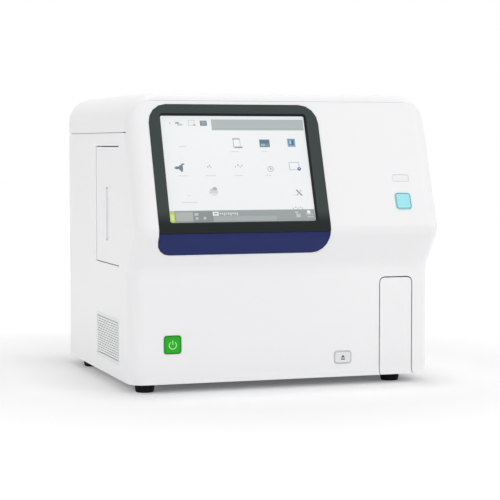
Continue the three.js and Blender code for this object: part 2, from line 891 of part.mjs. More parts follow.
// The display's stack, in a group that leans with the face
const leanGroup = new THREE.Group();
leanGroup.position.set(0, leanStartY, leanStartZ);
leanGroup.rotation.x = Math.PI / 2 - lean;
analyzer.add(leanGroup);
const screenPlate = (grow, top, thickness, corner = 0) => alongZ(
  plate(glassLeft - grow, glassRight + grow, glassLow - grow, glassHigh + grow, corner),
  top - thickness,
  top,
);
add('touch_screen', screenPlate(0, glassTop, glassThickness), 'screen', leanGroup);
add('lcd_panel', screenPlate(panelMargin, panelTop, panelThickness, sheet), 'steel', leanGroup);

function displayBracket() {
  const tray = cut(
    screenPlate(bracketMargin, bracketTop, sheet + bracketRim, bracketMargin),
    screenPlate(bracketMargin - sheet, bracketTop - sheet, bracketRim + overrun, bracketMargin - sheet),
  );
  const bar = (up) => alongZ(
    plate(
      displayBosses[0][0] - bracketEar,
      displayBosses[2][0] + bracketEar,
      up - bracketEar,
      up + bracketEar,
      bracketEar,
    ),
    bracketTop - sheet,
    bracketTop,
  );
  return joined(tray, bar(displayBosses[0][1]), bar(displayBosses[1][1]));
}
add('display_bracket', displayBracket(), 'zinc', leanGroup);

// Buttons: a cap in its hole, a flange behind the wall and a stem into the switch's well
function pushButton(outline) {
  const cap = new THREE.ExtrudeGeometry(outline(-buttonEdge), {
    depth: wall + buttonProud - buttonEdge * 2,
    bevelThickness: buttonEdge,
    bevelSize: buttonEdge,
    bevelSegments: 1,
  }).translate(0, 0, buttonEdge - wall);
  const core = alongZ(outline(-buttonEdge), -wall - seatGap - buttonFlangeThickness, -buttonEdge);
  const flange = alongZ(outline(buttonFlange), -wall - seatGap - buttonFlangeThickness, -wall - seatGap);
  return { cap, core, flange };
}
function keyCap(outline, across, up) {
  const { cap, core, flange } = pushButton(outline);
  const stemTip = -wall - seatGap - buttonFlangeThickness - buttonStemLength;
  return joined(cap, core, flange, alongZ(disc(across, up, buttonStemRadius), stemTip, -wall));
}
function keySwitch(outline, across, up, travel) {
  const rimTop = -wall - seatGap;
  const cavityFloor = rimTop - buttonFlangeThickness - travel - switchSpace;
  const wellFloor = rimTop - buttonFlangeThickness - buttonStemLength - travel - switchSpace;
  return cut(
    alongZ(outline(buttonFlange + switchSpace + switchRim), wellFloor - switchBase, rimTop),
    alongZ(outline(buttonFlange + switchSpace), cavityFloor, rimTop + overrun),
    alongZ(disc(across, up, buttonStemRadius + runGap), wellFloor, cavityFloor + overrun),
  );
}
const faceGroup = new THREE.Group();
faceGroup.position.set(0, faceY, floorZ);
faceGroup.rotation.x = Math.PI / 2;
analyzer.add(faceGroup);
add('start_button', keyCap(startOutline, startAcross, startUp), 'cyan', leanGroup);
add('start_switch', keySwitch(startOutline, startAcross, startUp, startTravel), 'moulding', leanGroup);
add('power_button', keyCap(powerOutline, powerAcross, powerUp), 'green', faceGroup);
add('power_switch', keySwitch(powerOutline, powerAcross, powerUp, powerTravel), 'moulding', faceGroup);
add('eject_button', keyCap(ejectOutline, ejectAcross, ejectUp), 'keyGrey', faceGroup);
add('eject_switch', keySwitch(ejectOutline, ejectAcross, ejectUp, ejectTravel), 'moulding', faceGroup);
add(
  'status_window',
  joined(
    alongZ(windowOutline(0), -wall - seatGap - sheet, -windowSink),
    alongZ(windowOutline(buttonFlange), -wall - seatGap - sheet, -wall - seatGap),
  ),
  'clear',
  leanGroup,
);

// Base pan: a folded tray between the curled lower edges of the covers, with higher flanges at its
// sides for the side frames
const frameOut = halfWidth - wall - seatGap;
const frameIn = frameOut - sheet;
const panHalf = halfWidth - heelRadius - seatGap;
const panNoseHalf = halfWidth - frontEdgeRadius - seatGap;
const panFront = faceY + wall + seatGap;
const panStep = seamY + seamGap;
const panRear = rearY - rearEdgeRadius - seatGap;
const frameFootZ = floorZ + heelRadius;
const frameFootTop = frameFootZ + sheet;
function panOutline(inset) {
  return new THREE.Shape([
    [inset - panNoseHalf, panFront + inset],
    [panNoseHalf - inset, panFront + inset],
    [panNoseHalf - inset, panStep + inset],
    [panHalf - inset, panStep + inset],
    [panHalf - inset, panRear - inset],
    [inset - panHalf, panRear - inset],
    [inset - panHalf, panStep + inset],
    [inset - panNoseHalf, panStep + inset],
  ].map(([x, y]) => new THREE.Vector2(x, y)));
}
const panSide = (x0, x1) => block(x0, x1, panStep, panRear, floorZ, frameFootZ - seatGap);
add(
  'base_pan',
  joined(
    cut(
      alongZ(panOutline(0), floorZ, panTop + panFlange),
      alongZ(panOutline(sheet), panTop, panTop + panFlange + overrun),
      block(
        drawerX - carriageWidth / 2,
        drawerX + carriageWidth / 2,
        panFront - overrun,
        panFront + overrun,
        panTop,
        panTop + panFlange + overrun,
      ),
    ),
    panSide(-panHalf, sheet - panHalf),
    panSide(panHalf - sheet, panHalf),
  ),
  'zinc',
);

// Side frames: sheet with windows, folded inwards below on to the pan and at the rear for the panel
const frameY0 = faceY + frontEdgeRadius;
const frameY1 = rearY - rearEdgeRadius - seatGap;
const frameTop = topZ - frameTopDrop;
function sideFrame(side, window, feet) {
  const outline = plateWithHoles(
    new THREE.Shape([
      [frameY1, frameFootZ],
      [frameY1, frameTop],
      [frameY0 + frameNotch, frameTop],
      [frameY0, frameTop - frameNotch],
      [frameY0, frameFootZ],
    ].map(([y, z]) => new THREE.Vector2(y, z))),
    window,
  );
  const [x0, x1] = side < 0 ? [-frameOut, -frameIn] : [frameIn, frameOut];
  const [r0, r1] = side < 0 ? [-frameOut, frameReturn - frameOut] : [frameOut - frameReturn, frameOut];
  const [f0, f1] = side < 0 ? [-frameOut, sheet - panHalf] : [panHalf - sheet, frameOut];
  return joined(
    alongX(outline, x0, x1),
    block(r0, r1, frameY1 - sheet, frameY1, frameFootZ, frameTop),
    ...feet.map(([y0, y1]) => block(f0, f1, y0, y1, frameFootZ, frameFootTop)),
  );
}
const bayWindow = plate(
  doorY0 - sheet,
  doorY1 + hingeRadius + seatGap,
  doorZ0 - bayWindowMargin,
  doorZ1 + bayWindowMargin,
);
const ventNotchY0 = ventY0 - ventFrame - seatGap;
const ventNotchY1 = ventY1 + ventFrame + seatGap;
const ventNotch = block(-farOut, 0, ventNotchY0, ventNotchY1, 0, ventZ1 + ventFrame + seatGap);
const rearWindow = (z0, z1) => plate(doorY1 + frameWindowMargin * 2, frameY1 - frameWindowMargin, z0, z1, bottleCorner);
const frameWindows = [
  rearWindow(floorZ + frameWindowMargin, doorZ0 - frameWindowMargin),
  rearWindow(doorZ0, frameTop - frameWindowMargin),
];
add(
  'left_side_frame',
  cut(sideFrame(-1, [bayWindow, ...frameWindows], [[panStep, ventNotchY0], [ventNotchY1, frameY1]]), ventNotch),
  'zinc',
);
add(
  'right_side_frame',
  sideFrame(1, [
    ...frameWindows,
    plate(doorY0, doorY1, doorZ0, frameTop - frameWindowMargin, bottleCorner),
    plate(doorY0, doorY1, floorZ + frameWindowMargin, doorZ0 - frameWindowMargin, bottleCorner),
  ], [[panStep, frameY1]]),
  'zinc',
);

// Middle plate: stands across the pan behind the reagent bay
const bayY1 = doorY1 + hingeRadius + sheet;
const midY = bayY1 + bayFlange + midPlateSetBack;
add(
  'mid_plate',
  joined(
    alongY(
      plateWithHoles(
        plate(seatGap - frameIn, frameIn - seatGap, frameFootTop + seatGap, panTop + midPlateHeight),
        [
          plate(-midSlotWidth / 2, midSlotWidth / 2, panTop + midPlateMargin * 2, panTop + midPlateMargin * 2 + midSlotHeight, midPlateMargin),
          plate(
            valveX - midSlotWidth / 2,
            valveX + midSlotWidth / 2,
            panTop + midPlateHeight - midPlateMargin - midSlotHeight,
            panTop + midPlateHeight - midPlateMargin,
            midPlateMargin,
          ),
        ],
      ),
      midY,
      midY + sheet,
    ),
    block(sheet * 2 - panHalf, panHalf - sheet * 2, midY, midY + sheet, panTop + seatGap, frameFootTop + sheet),
    block(sheet * 2 - panHalf, panHalf - sheet * 2, midY, midY + midPlateMargin, panTop + seatGap, panTop + seatGap + sheet),
  ),
  'zinc',
);

// Feet: turned rubber with a tapered side and a rounded lower edge
function foot(x, y) {
  const low = footRadius - footTaper;
  return turned(x, y, [
    [0, 0],
    [low - footEdgeRadius, 0],
    ...sweep(3, 0, Math.PI / 2, (turn) => [
      low - footEdgeRadius + footEdgeRadius * Math.sin(turn),
      footEdgeRadius * (1 - Math.cos(turn)),
    ]).slice(1),
    [footRadius, footHeight - seatGap],
    [0, footHeight - seatGap],
  ]);
}
add('foot_front_left', foot(frontLeftFootMargin - halfWidth, faceY + frontLeftFootY), 'black');
add('foot_front_right', foot(halfWidth - frontRightFootMargin, faceY + frontRightFootY), 'black');
add('foot_rear_left', foot(rearFootMargin - halfWidth, rearY - rearFootDepth), 'black');
add('foot_rear_right', foot(halfWidth - rearFootMargin, rearY - rearFootDepth), 'black');

// Sample drawer: front, carriage on a rail, rack and pinion
add(
  'drawer_front',
  common(layer(0, wall), alongY(plate(
    drawerLeft,
    drawerLeft + drawerWidth,
    floorZ,
    floorZ + drawerHeight,
    [0, 0, drawerCorner, drawerCorner],
  ), noseY, seamY)),
  'white',
);

const railZ = panTop + seatGap;
const railTop = railZ + railHeight;
const carriageY0 = faceY + wall + seatGap;
const carriageY1 = carriageY0 + carriageLength;
const slotWidth = runnerWidth + runGap * 2;
const mouthWidth = runnerNeck + runGap * 2;
function railOutline() {
  return new THREE.Shape([
    [-railWidth / 2, railZ],
    [railWidth / 2, railZ],
    [railWidth / 2, railTop],
    [mouthWidth / 2, railTop],
    [mouthWidth / 2, railTop - railLip],
    [slotWidth / 2, railTop - railLip],
    [slotWidth / 2, railZ + railFloor],
    [-slotWidth / 2, railZ + railFloor],
    [-slotWidth / 2, railTop - railLip],
    [-mouthWidth / 2, railTop - railLip],
    [-mouthWidth / 2, railTop],
    [-railWidth / 2, railTop],
  ].map(([x, z]) => new THREE.Vector2(drawerX + x, z)));
}
add('drawer_rail', alongY(railOutline(), carriageY0 + sheet, carriageY1), 'steel');

const carriageZ = railTop + runGap;
const carriageTop = carriageZ + carriageFloor;
const rackPitchX = drawerX - carriageWidth / 2 - rackBacking - toothModule * 1.25;
const rackZ = carriageTop;
function carriageOutline() {
  const half = carriageWidth / 2;
  const points = [
    [-half, carriageTop + carriageSideHeight],
    [-half, carriageZ],
    [-runnerNeck / 2, carriageZ],
    [-runnerNeck / 2, railTop - railLip - runGap],
    [-runnerWidth / 2, railTop - railLip - runGap],
    [-runnerWidth / 2, railZ + railFloor + runGap],
  ];
  const inside = [
    [half - carriageSide, carriageTop + carriageSideHeight],
    [half - carriageSide, carriageTop],
    [carriageSide - half, carriageTop],
    [carriageSide - half, carriageTop + carriageSideHeight],
  ];
  const mirrored = points.map(([x, z]) => [-x, z]).reverse();
  return new THREE.Shape([...points, ...mirrored, ...inside].map(([x, z]) => new THREE.Vector2(drawerX + x, z)));
}

// Rack teeth face the pinion, with a tooth space opposite the pinion's axis
const toothPitch = Math.PI * toothModule;
const pressureAngle = rad(20);
const addendum = toothModule * 0.8;
const dedendum = toothModule * 1.25;
const backlash = toothModule * 0.2;
const pinionRadius = (toothModule * pinionTeeth) / 2;
const pinionX = rackPitchX - pinionRadius;
const pinionY = faceY + pinionSetBack;
function rackOutline() {
  const root = rackPitchX + dedendum;
  const tip = rackPitchX - addendum;
  const halfTip = toothPitch / 4 - backlash / 2 - addendum * Math.tan(pressureAngle);
  const halfRoot = toothPitch / 4 - backlash / 2 + dedendum * Math.tan(pressureAngle);
  const first = Math.ceil((carriageY0 + toothPitch - pinionY) / toothPitch - 0.5);
  const last = Math.floor((carriageY1 - toothPitch - pinionY) / toothPitch - 0.5);
  const edge = [];
  for (let tooth = first; tooth <= last; tooth += 1) {
    const y = pinionY + (tooth + 0.5) * toothPitch;
    edge.push([root, y - halfRoot], [tip, y - halfTip], [tip, y + halfTip], [root, y + halfRoot]);
  }
  const back = drawerX - carriageWidth / 2 + carriageSide / 2;
  return new THREE.Shape([[back, carriageY0], [root, carriageY0], ...edge, [root, carriageY1], [back, carriageY1]]
    .map(([x, y]) => new THREE.Vector2(x, y)));
}
add(
  'drawer_carriage',
  joined(
    alongY(carriageOutline(), carriageY0, carriageY1),
    alongZ(rackOutline(), rackZ, rackZ + rackThickness),
    block(
      drawerX - carriageWidth / 2,
      drawerX + carriageWidth / 2,
      carriageY0,
      carriageY0 + carriageFrontThickness,
      carriageZ,
      carriageTop + carriageFrontHeight,
    ),
  ),
  'moulding',
);

function pinionOutline() {
  const tipTurn = (toothPitch / 4 - backlash / 2 - addendum * Math.tan(pressureAngle) * 1.15) / pinionRadius;
  const midTurn = (toothPitch / 4 - backlash / 2) / pinionRadius;
  const rootTurn = (toothPitch / 4 - backlash / 2 + dedendum * Math.tan(pressureAngle) * 0.6) / pinionRadius;
  const marks = [
    [pinionRadius - dedendum, -rootTurn],
    [pinionRadius, -midTurn],
    [pinionRadius + addendum, -tipTurn],
    [pinionRadius + addendum, tipTurn],
    [pinionRadius, midTurn],
    [pinionRadius - dedendum, rootTurn],
  ];
  const points = Array.from({ length: pinionTeeth }, (_, tooth) => (2 * Math.PI * tooth) / pinionTeeth)
    .flatMap((turn) => marks.map(([radius, off]) => new THREE.Vector2(
      pinionX + radius * Math.cos(turn + off),
      pinionY + radius * Math.sin(turn + off),
    )));
  return new THREE.Shape(points);
}
const motorPlateZ = rackZ + rackThickness + runGap * 2;
const motorZ = motorPlateZ + sheet + seatGap;
add(
  'drive_pinion',
  joined(
    alongZ(pinionOutline(), rackZ + runGap, rackZ + runGap + pinionThickness),
    alongZ(disc(pinionX, pinionY, pinionShaftRadius), rackZ + runGap, motorZ + motorHeight / 2),
  ),
  'brass',
);
const motorLegX = pinionX - pinionRadius - addendum - runGap * 4;
add(
  'drawer_motor_bracket',
  cut(
    alongY(
      new THREE.Shape([
        [motorLegX - sheet - midPlateMargin, railZ],
        [motorLegX, railZ],
        [motorLegX, motorPlateZ],
        [rackPitchX + dedendum, motorPlateZ],
        [rackPitchX + dedendum, motorPlateZ + sheet],
        [motorLegX - sheet, motorPlateZ + sheet],
        [motorLegX - sheet, railZ + sheet],
        [motorLegX - sheet - midPlateMargin, railZ + sheet],
      ].map(([x, z]) => new THREE.Vector2(x, z))),
      carriageY0 + sheet + runGap,
      pinionY + motorRadius,
    ),
    alongZ(disc(pinionX, pinionY, motorBossRadius + runGap), motorPlateZ - overrun, motorPlateZ + overrun),
  ),
  'zinc',
);
function driveMotor() {
  const body = turned(pinionX, pinionY, [
    [pinionShaftRadius + runGap, motorPlateZ + runGap],
    [motorBossRadius, motorPlateZ + runGap],
    [motorBossRadius, motorZ],
    [motorRadius - sheet / 2, motorZ],
    [motorRadius, motorZ + sheet / 2],
    [motorRadius, motorZ + motorHeight - sheet],
    [motorRadius - sheet, motorZ + motorHeight],
    [0, motorZ + motorHeight],
    [0, motorZ + motorHeight / 2 + seatGap],
    [pinionShaftRadius + runGap, motorZ + motorHeight / 2 + seatGap],
    [pinionShaftRadius + runGap, motorPlateZ + runGap],
  ]);
  return body;
}
add('drawer_motor', driveMotor(), 'steel');

// Tube holder on the carriage, with the tube and its pierced cap
const tubeY = faceY + tubeSetBack;
const holderZ = carriageTop + seatGap;
const tubeZ = holderZ + holderFloor + seatGap;
const holderHalf = holderWidth / 2;
add(
  'tube_holder',
  cut(
    alongZ(plate(drawerX - holderHalf, drawerX + holderHalf, tubeY - holderHalf, tubeY + holderHalf, holderCorner), holderZ, holderZ + holderHeight),
    alongZ(disc(drawerX, tubeY, tubeRadius + runGap, turnSteps), holderZ + holderFloor, holderZ + holderHeight + overrun),
    block(
      drawerX - holderSlot / 2,
      drawerX + holderSlot / 2,
      tubeY - holderHalf - overrun,
      tubeY,
      holderZ + holderHeight / 3,
      holderZ + holderHeight + overrun,
    ),
  ),
  'darkGrey',
);
const tubeInner = tubeRadius - tubeWall;
const tubeTop = tubeZ + tubeLength;
add(
  'sample_tube',
  turned(drawerX, tubeY, [
    ...sweep(arcSteps, 0, Math.PI / 2, (turn) => [
      tubeRadius * Math.sin(turn),
      tubeZ + tubeRadius * (1 - Math.cos(turn)),
    ]),
    [tubeRadius, tubeTop],
    [tubeInner, tubeTop],
    ...sweep(arcSteps, Math.PI / 2, 0, (turn) => [
      tubeInner * Math.sin(turn),
      tubeZ + tubeWall + tubeInner * (1 - Math.cos(turn)),
    ]),
  ]),
  'clear',
);
const capBottom = tubeTop - capSkirt;
const capRoof = tubeTop + seatGap;
add(
  'tube_cap',
  turned(drawerX, tubeY, [
    [tubeRadius + runGap, capBottom],
    [capRadius, capBottom],
    [capRadius, capRoof + capTop - tubeWall],
    [capRadius - tubeWall, capRoof + capTop],
    [septumRadius, capRoof + capTop],
    [septumRadius, capRoof - capSkirt / 3],
    [tubeInner - runGap, capRoof - capSkirt / 3],
    [tubeInner - runGap, capRoof],
    [tubeRadius + runGap, capRoof],
    [tubeRadius + runGap, capBottom],
  ]),
  'lilac',
);

// Piercer: a bridge over the drawer with a guide rod, a lead screw and the needle's carriage
const piercerY = tubeY + piercerSetBack;
const piercerTop = railZ + piercerHeight;
const screwBottom = railZ + piercerArch + piercerLugRise;
const blockY1 = piercerY - seatGap * 2;
const blockY0 = blockY1 - carriageBlockDepth;
const screwY = (blockY0 + blockY1) / 2;
const needleTip = capRoof + capTop + needleClear;
const needleTop = needleTip + needleStroke + needleClear * 2;
function piercerFrame() {
  const half = piercerWidth / 2;
  const arch = carriageWidth / 2 + piercerArchSide;
  const back = alongY(
    new THREE.Shape([
      [-half, railZ],
      [-arch, railZ],
      [-arch, railZ + piercerArch],
      [arch, railZ + piercerArch],
      [arch, railZ],
      [half, railZ],
      [half, piercerTop],
      [-half, piercerTop],
    ].map(([x, z]) => new THREE.Vector2(drawerX + x, z))),
    piercerY,
    piercerY + wall,
  );
  const lug = (z) => block(
    drawerX - carriageBlockWidth / 2,
    drawerX + carriageBlockWidth / 2,
    piercerY - piercerLug / 2 - sheet,
    piercerY + wall / 2,
    z,
    z + wall,
  );
  const flange = (side) => block(
    drawerX + side * half - (side > 0 ? sheet : 0),
    drawerX + side * half + (side > 0 ? 0 : sheet),
    piercerY + wall / 2,
    piercerY + piercerLug,
    railZ,
    piercerTop,
  );
  const frame = joined(back, lug(piercerTop - wall), lug(screwBottom), flange(-1), flange(1));
  const rod = alongZ(disc(drawerX - guideSpread, screwY, guideRadius), screwBottom, piercerTop);
  const screwHole = alongZ(disc(drawerX + guideSpread, screwY, guideRadius + runGap), railZ, farOut);
  return joined(cut(frame, screwHole), rod);
}
add('piercer_frame', piercerFrame(), 'zinc');
add(
  'lead_screw',
  alongZ(disc(drawerX + guideSpread, screwY, guideRadius), screwBottom, piercerTop + piercerMotorHeight / 2),
  'steel',
);
add(
  'needle_carriage',
  cut(
    joined(
      block(
        drawerX - carriageBlockWidth / 2,
        drawerX + carriageBlockWidth / 2,
        blockY0,
        blockY1,
        needleTop,
        needleTop + carriageBlockHeight,
      ),
      block(
        drawerX - holderSlot,
        drawerX + holderSlot,
        tubeY - holderSlot,
        blockY0 + sheet,
        needleTop,
        needleTop + needleArmThickness,
      ),
    ),
    alongZ(disc(drawerX - guideSpread, screwY, guideRadius + runGap), railZ, piercerTop),
    alongZ(disc(drawerX + guideSpread, screwY, guideRadius + runGap), railZ, piercerTop),
    alongZ(disc(drawerX, tubeY, needleRadius + seatGap), railZ, needleTop + needleArmThickness - sheet),
  ),
  'moulding',
);
add(
  'piercing_needle',
  turned(drawerX, tubeY, [
    [0, needleTip],
    [needleRadius, needleTip + needleClear],
    [needleRadius, needleTop + needleArmThickness - sheet - seatGap],
    [0, needleTop + needleArmThickness - sheet - seatGap],
  ], smallTurnSteps),
  'steel',
);
const piercerMotorZ = piercerTop + seatGap;
add(
  'piercer_motor',
  cut(
    alongZ(
      plate(
        drawerX + guideSpread - piercerMotorWidth / 2,
        drawerX + guideSpread + piercerMotorWidth / 2,
        screwY - piercerMotorWidth / 2,
        screwY + piercerMotorWidth / 2,
        sheet,
      ),
      piercerMotorZ,
      piercerMotorZ + piercerMotorHeight,
    ),
    alongZ(
      disc(drawerX + guideSpread, screwY, guideRadius + runGap),
      piercerTop - overrun,
      piercerTop + piercerMotorHeight / 2 + seatGap,
    ),
  ),
  'black',
);

// Reagent door: a plate with a rolled hinge edge and a scooped grip, closed from behind
const hingeX = hingeRadius - halfWidth;
const hingeY = doorY1 - hingeRadius;
const gripY = (doorY0 + doorY1) / 2;
const gripZ0 = doorZ0 + gripBottom;
const gripZ1 = gripZ0 + gripHeight;
function reagentDoor() {
  const gripSection = (x, grow) => roundedPoints(
    gripY - gripWidth / 2 - grow,
    gripY + gripWidth / 2 + grow,
    gripZ0 - grow,
    gripZ1 + grow,
    gripWidth / 3 + grow,
  ).map((point) => new THREE.Vector3(x, point.x, point.y));
  const panel = alongX(plate(doorY0, hingeY, doorZ0, doorZ1), -halfWidth, wall - halfWidth);
  const barrel = alongZ(disc(hingeX, hingeY, hingeRadius, turnSteps), doorZ0, doorZ1);
  const cup = loft([gripSection(wall / 2 - halfWidth, gripWall), gripSection(gripDepth + gripWall - halfWidth, gripWall - gripTaper)]);
  const scoop = loft([gripSection(-halfWidth - gripTaper, gripTaper / 2), gripSection(gripDepth - halfWidth, -gripTaper)]);
  const pinHole = alongZ(disc(hingeX, hingeY, hingePinRadius + runGap), doorZ0 - overrun, doorZ1 + overrun);
  return cut(joined(panel, barrel, cup), scoop, pinHole);
}
add('reagent_door', reagentDoor(), 'white');
add(
  'door_hinge_pin',
  alongZ(disc(hingeX, hingeY, hingePinRadius), doorZ0 - doorGap - hingePinReach, doorZ1 + doorGap + hingePinReach),
  'steel',
);

// Reagent bay: a box open towards the door, a flange behind the side frame and two ears for the pin
const bayX0 = -frameIn + seatGap;
const bayX1 = bayX0 + bayDepth;
const bayY0 = doorY0;
const bayZ0 = doorZ0 - doorGap - sheet;
const bayZ1 = doorZ1 + doorGap + sheet;
function reagentBay() {
  const box = cut(
    block(bayX0, bayX1, bayY0, bayY1, bayZ0, bayZ1),
    block(bayX0 - overrun, bayX1 - sheet, bayY0 + sheet, bayY1 - sheet, bayZ0 + sheet, bayZ1 - sheet),
  );
  const flange = alongX(
    plateWithHoles(
      plate(bayY0 - bayFlange, bayY1 + bayFlange, bayZ0 - bayFlange - bayWindowMargin, bayZ1 + bayFlange + bayWindowMargin),
      [plate(bayY0 + sheet / 2, bayY1 - sheet / 2, bayZ0 + sheet / 2, bayZ1 - sheet / 2)],
    ),
    bayX0,
    bayX0 + sheet,
  );
  const ear = (z0, z1) => block(
    wall + seatGap - halfWidth,
    bayX0 + sheet,
    hingeY - hingeRadius,
    hingeY + hingeRadius,
    z0,
    z1,
  );
  const reach = doorGap + hingePinReach;
  return cut(
    joined(box, flange, ear(doorZ0 - reach, doorZ0 - doorGap), ear(doorZ1 + doorGap, doorZ1 + reach)),
    alongZ(disc(hingeX, hingeY, hingePinRadius + runGap), doorZ0 - reach - overrun, doorZ0 - doorGap + overrun / 2),
    alongZ(disc(hingeX, hingeY, hingePinRadius + runGap), doorZ1 + doorGap - overrun / 2, doorZ1 + reach + overrun),
  );
}
add('reagent_bay', reagentBay(), 'moulding');

function dyeBottle(y) {
  const x1 = bayX1 - sheet * 2;
  const x0 = x1 - bottleWidth;
  const z0 = bayZ0 + sheet + seatGap;
  const z1 = z0 + bottleHeight;
  const half = bottleDepth / 2;
  const body = (z, inset) => roundedPoints(x0 + inset, x1 - inset, y - half + inset, y + half - inset, bottleCorner)
    .map((point) => new THREE.Vector3(point.x, point.y, z));
  const flask = loft([
    body(z0, sheet),
    body(z0 + sheet, 0),
    body(z1, 0),
    body(z1 + bottleShoulder, bottleShoulder * 2),
  ]);
  const top = z1 + bottleShoulder;
  const cap = turned((x0 + x1) / 2, y, [
    [0, top - sheet],
    [bottleNeckRadius, top - sheet],
    [bottleNeckRadius, top + sheet],
    [bottleCapRadius, top + sheet],
    [bottleCapRadius, top + bottleCapHeight - sheet],
    [bottleCapRadius - sheet, top + bottleCapHeight],
    [0, top + bottleCapHeight],
  ], smallTurnSteps + arcSteps);
  return joined(flask, cap);
}
add('dye_bottle_front', dyeBottle(bayY0 + (bayY1 - bayY0) / 4), 'amber');
add('dye_bottle_rear', dyeBottle(bayY1 - (bayY1 - bayY0) / 4), 'amber');

// Optical detector: a block on feet, with the light source and the sensor as barrels at its ends
function opticalDetector() {
  const y0 = faceY + detectorSetBack;
  const y1 = y0 + detectorDepth;
  const x0 = detectorX - detectorWidth / 2;
  const x1 = detectorX + detectorWidth / 2;
  const z0 = railZ;
  const body = block(x0, x1, y0, y1, z0 + detectorFoot, z0 + detectorHeight);
  const barrelZ = z0 + detectorHeight / 2 + detectorFoot / 2;
  const barrel = new THREE.CylinderGeometry(detectorTubeRadius, detectorTubeRadius, detectorWidth + detectorTubeReach * 2, turnSteps)
    .rotateZ(Math.PI / 2).translate(detectorX, (y0 + y1) / 2, barrelZ);
  const chamber = turned(detectorX, (y0 + y1) / 2, [
    [0, z0 + detectorHeight - sheet],
    [detectorTubeRadius, z0 + detectorHeight - sheet],
    [detectorTubeRadius, z0 + detectorHeight + detectorFoot],
    [detectorTubeRadius / 2, z0 + detectorHeight + detectorFoot * 2],
    [detectorTubeRadius / 2, z0 + detectorHeight + detectorTubeReach],
    [0, z0 + detectorHeight + detectorTubeReach],
  ], smallTurnSteps);
  const feet = [x0 + detectorFoot, x1 - detectorFoot].flatMap((x) => [y0 + detectorFoot, y1 - detectorFoot].map(
    (y) => alongZ(disc(x, y, detectorFoot / 2), z0, z0 + detectorFoot + sheet),
  ));
  return joined(body, barrel, chamber, ...feet);
}
add('optical_detector', opticalDetector(), 'steel');

// Reaction block: two heated cups side by side
function reactionBlock() {
  const y0 = faceY + reactionSetBack;
  const body = alongZ(
    plate(reactionX - reactionWidth / 2, reactionX + reactionWidth / 2, y0, y0 + reactionDepth, bottleCorner),
    railZ,
    railZ + reactionHeight,
  );
  const cups = [-1, 1].map((side) => alongZ(
    disc(reactionX + (side * reactionWidth) / 4, y0 + reactionDepth / 2, reactionCupRadius, turnSteps),
    railZ + reactionHeight - reactionCupDepth,
    railZ + reactionHeight + overrun,
  ));
  return cut(body, ...cups);
}
add('reaction_block', reactionBlock(), 'zinc');

// Syringe unit: a stand with a bore from below, and the plunger that travels in it
const syringeY0 = faceY + syringeSetBack;
const syringeY = syringeY0 + syringeDepth / 2;
const syringeNeckZ = railZ + syringeHeight / 2;
function syringeUnit() {
  const half = syringeWidth / 2;
  const body = alongX(
    new THREE.Shape([
      [syringeY0 + syringeDepth, railZ],
      [syringeY0 + syringeDepth, railZ + syringeHeight],
      [syringeY0, railZ + syringeHeight],
      [syringeY0, syringeNeckZ],
      [syringeY0 + syringeDepth - wall, syringeNeckZ],
      [syringeY0 + syringeDepth - wall, railZ + wall],
      [syringeY0, railZ + wall],
      [syringeY0, railZ],
    ].map(([y, z]) => new THREE.Vector2(y, z))),
    syringeX - half,
    syringeX + half,
  );
  return cut(
    body,
    alongZ(disc(syringeX, syringeY, syringeBoreRadius, turnSteps), syringeNeckZ - overrun, railZ + syringeHeight - wall * 2),
    alongZ(disc(syringeX, syringeY, plungerRodRadius), syringeNeckZ, railZ + syringeHeight + overrun),
  );
}
add('syringe_unit', syringeUnit(), 'clear');
const plungerTop = railZ + syringeHeight - wall * 2 - seatGap;
add(
  'syringe_plunger',
  turned(syringeX, syringeY, [
    [0, plungerTop],
    [plungerRadius, plungerTop],
    [plungerRadius, plungerTop - plungerHead],
    [plungerRodRadius, plungerTop - plungerHead],
    [plungerRodRadius, railZ + wall + syringeStroke + plungerHead / 2],
    [plungerRadius, railZ + wall + syringeStroke + plungerHead / 2],
    [plungerRadius, railZ + wall + syringeStroke + seatGap],
    [0, railZ + wall + syringeStroke + seatGap],
  ], smallTurnSteps + arcSteps),
  'steel',
);

// Valve manifold: a bar on the middle plate with a row of valves
function valveManifold() {
  const half = (valvePitch * valveCount) / 2;
  const z0 = panTop + valveUp;
  const y1 = midY - seatGap;
  const bar = block(valveX - half, valveX + half, y1 - valveBlockThickness, y1, z0, z0 + valveBlockHeight);
  const valves = Array.from({ length: valveCount }, (_, valve) => {
    const x = valveX - half + valvePitch * (valve + 0.5);
    return new THREE.CylinderGeometry(valveRadius, valveRadius, valveReach, smallTurnSteps)
      .translate(x, y1 - valveBlockThickness - valveReach / 2 + sheet, z0 + valveBlockHeight / 2);
  });
  return joined(bar, ...valves);
}
add('valve_manifold', valveManifold(), 'moulding');

// Air pump: a motor box with two heads
const unitY0 = midY + sheet + unitSetBack;
function airPump() {
  const x0 = pumpX - pumpWidth / 2;
  const body = alongZ(plate(x0, x0 + pumpWidth, unitY0, unitY0 + pumpDepth, bottleCorner), railZ, railZ + pumpHeight);
  const heads = [-1, 1].map((side) => turned(pumpX + side * (pumpWidth / 4), unitY0 + pumpDepth / 2, [
    [0, railZ + pumpHeight - sheet],
    [pumpHeadRadius, railZ + pumpHeight - sheet],
    [pumpHeadRadius, railZ + pumpHeight + pumpHeadHeight / 2],
    [pumpHeadRadius * 0.7, railZ + pumpHeight + pumpHeadHeight],
    [0, railZ + pumpHeight + pumpHeadHeight],
  ], smallTurnSteps + arcSteps));
  return joined(body, ...heads);
}
add('air_pump', airPump(), 'black');

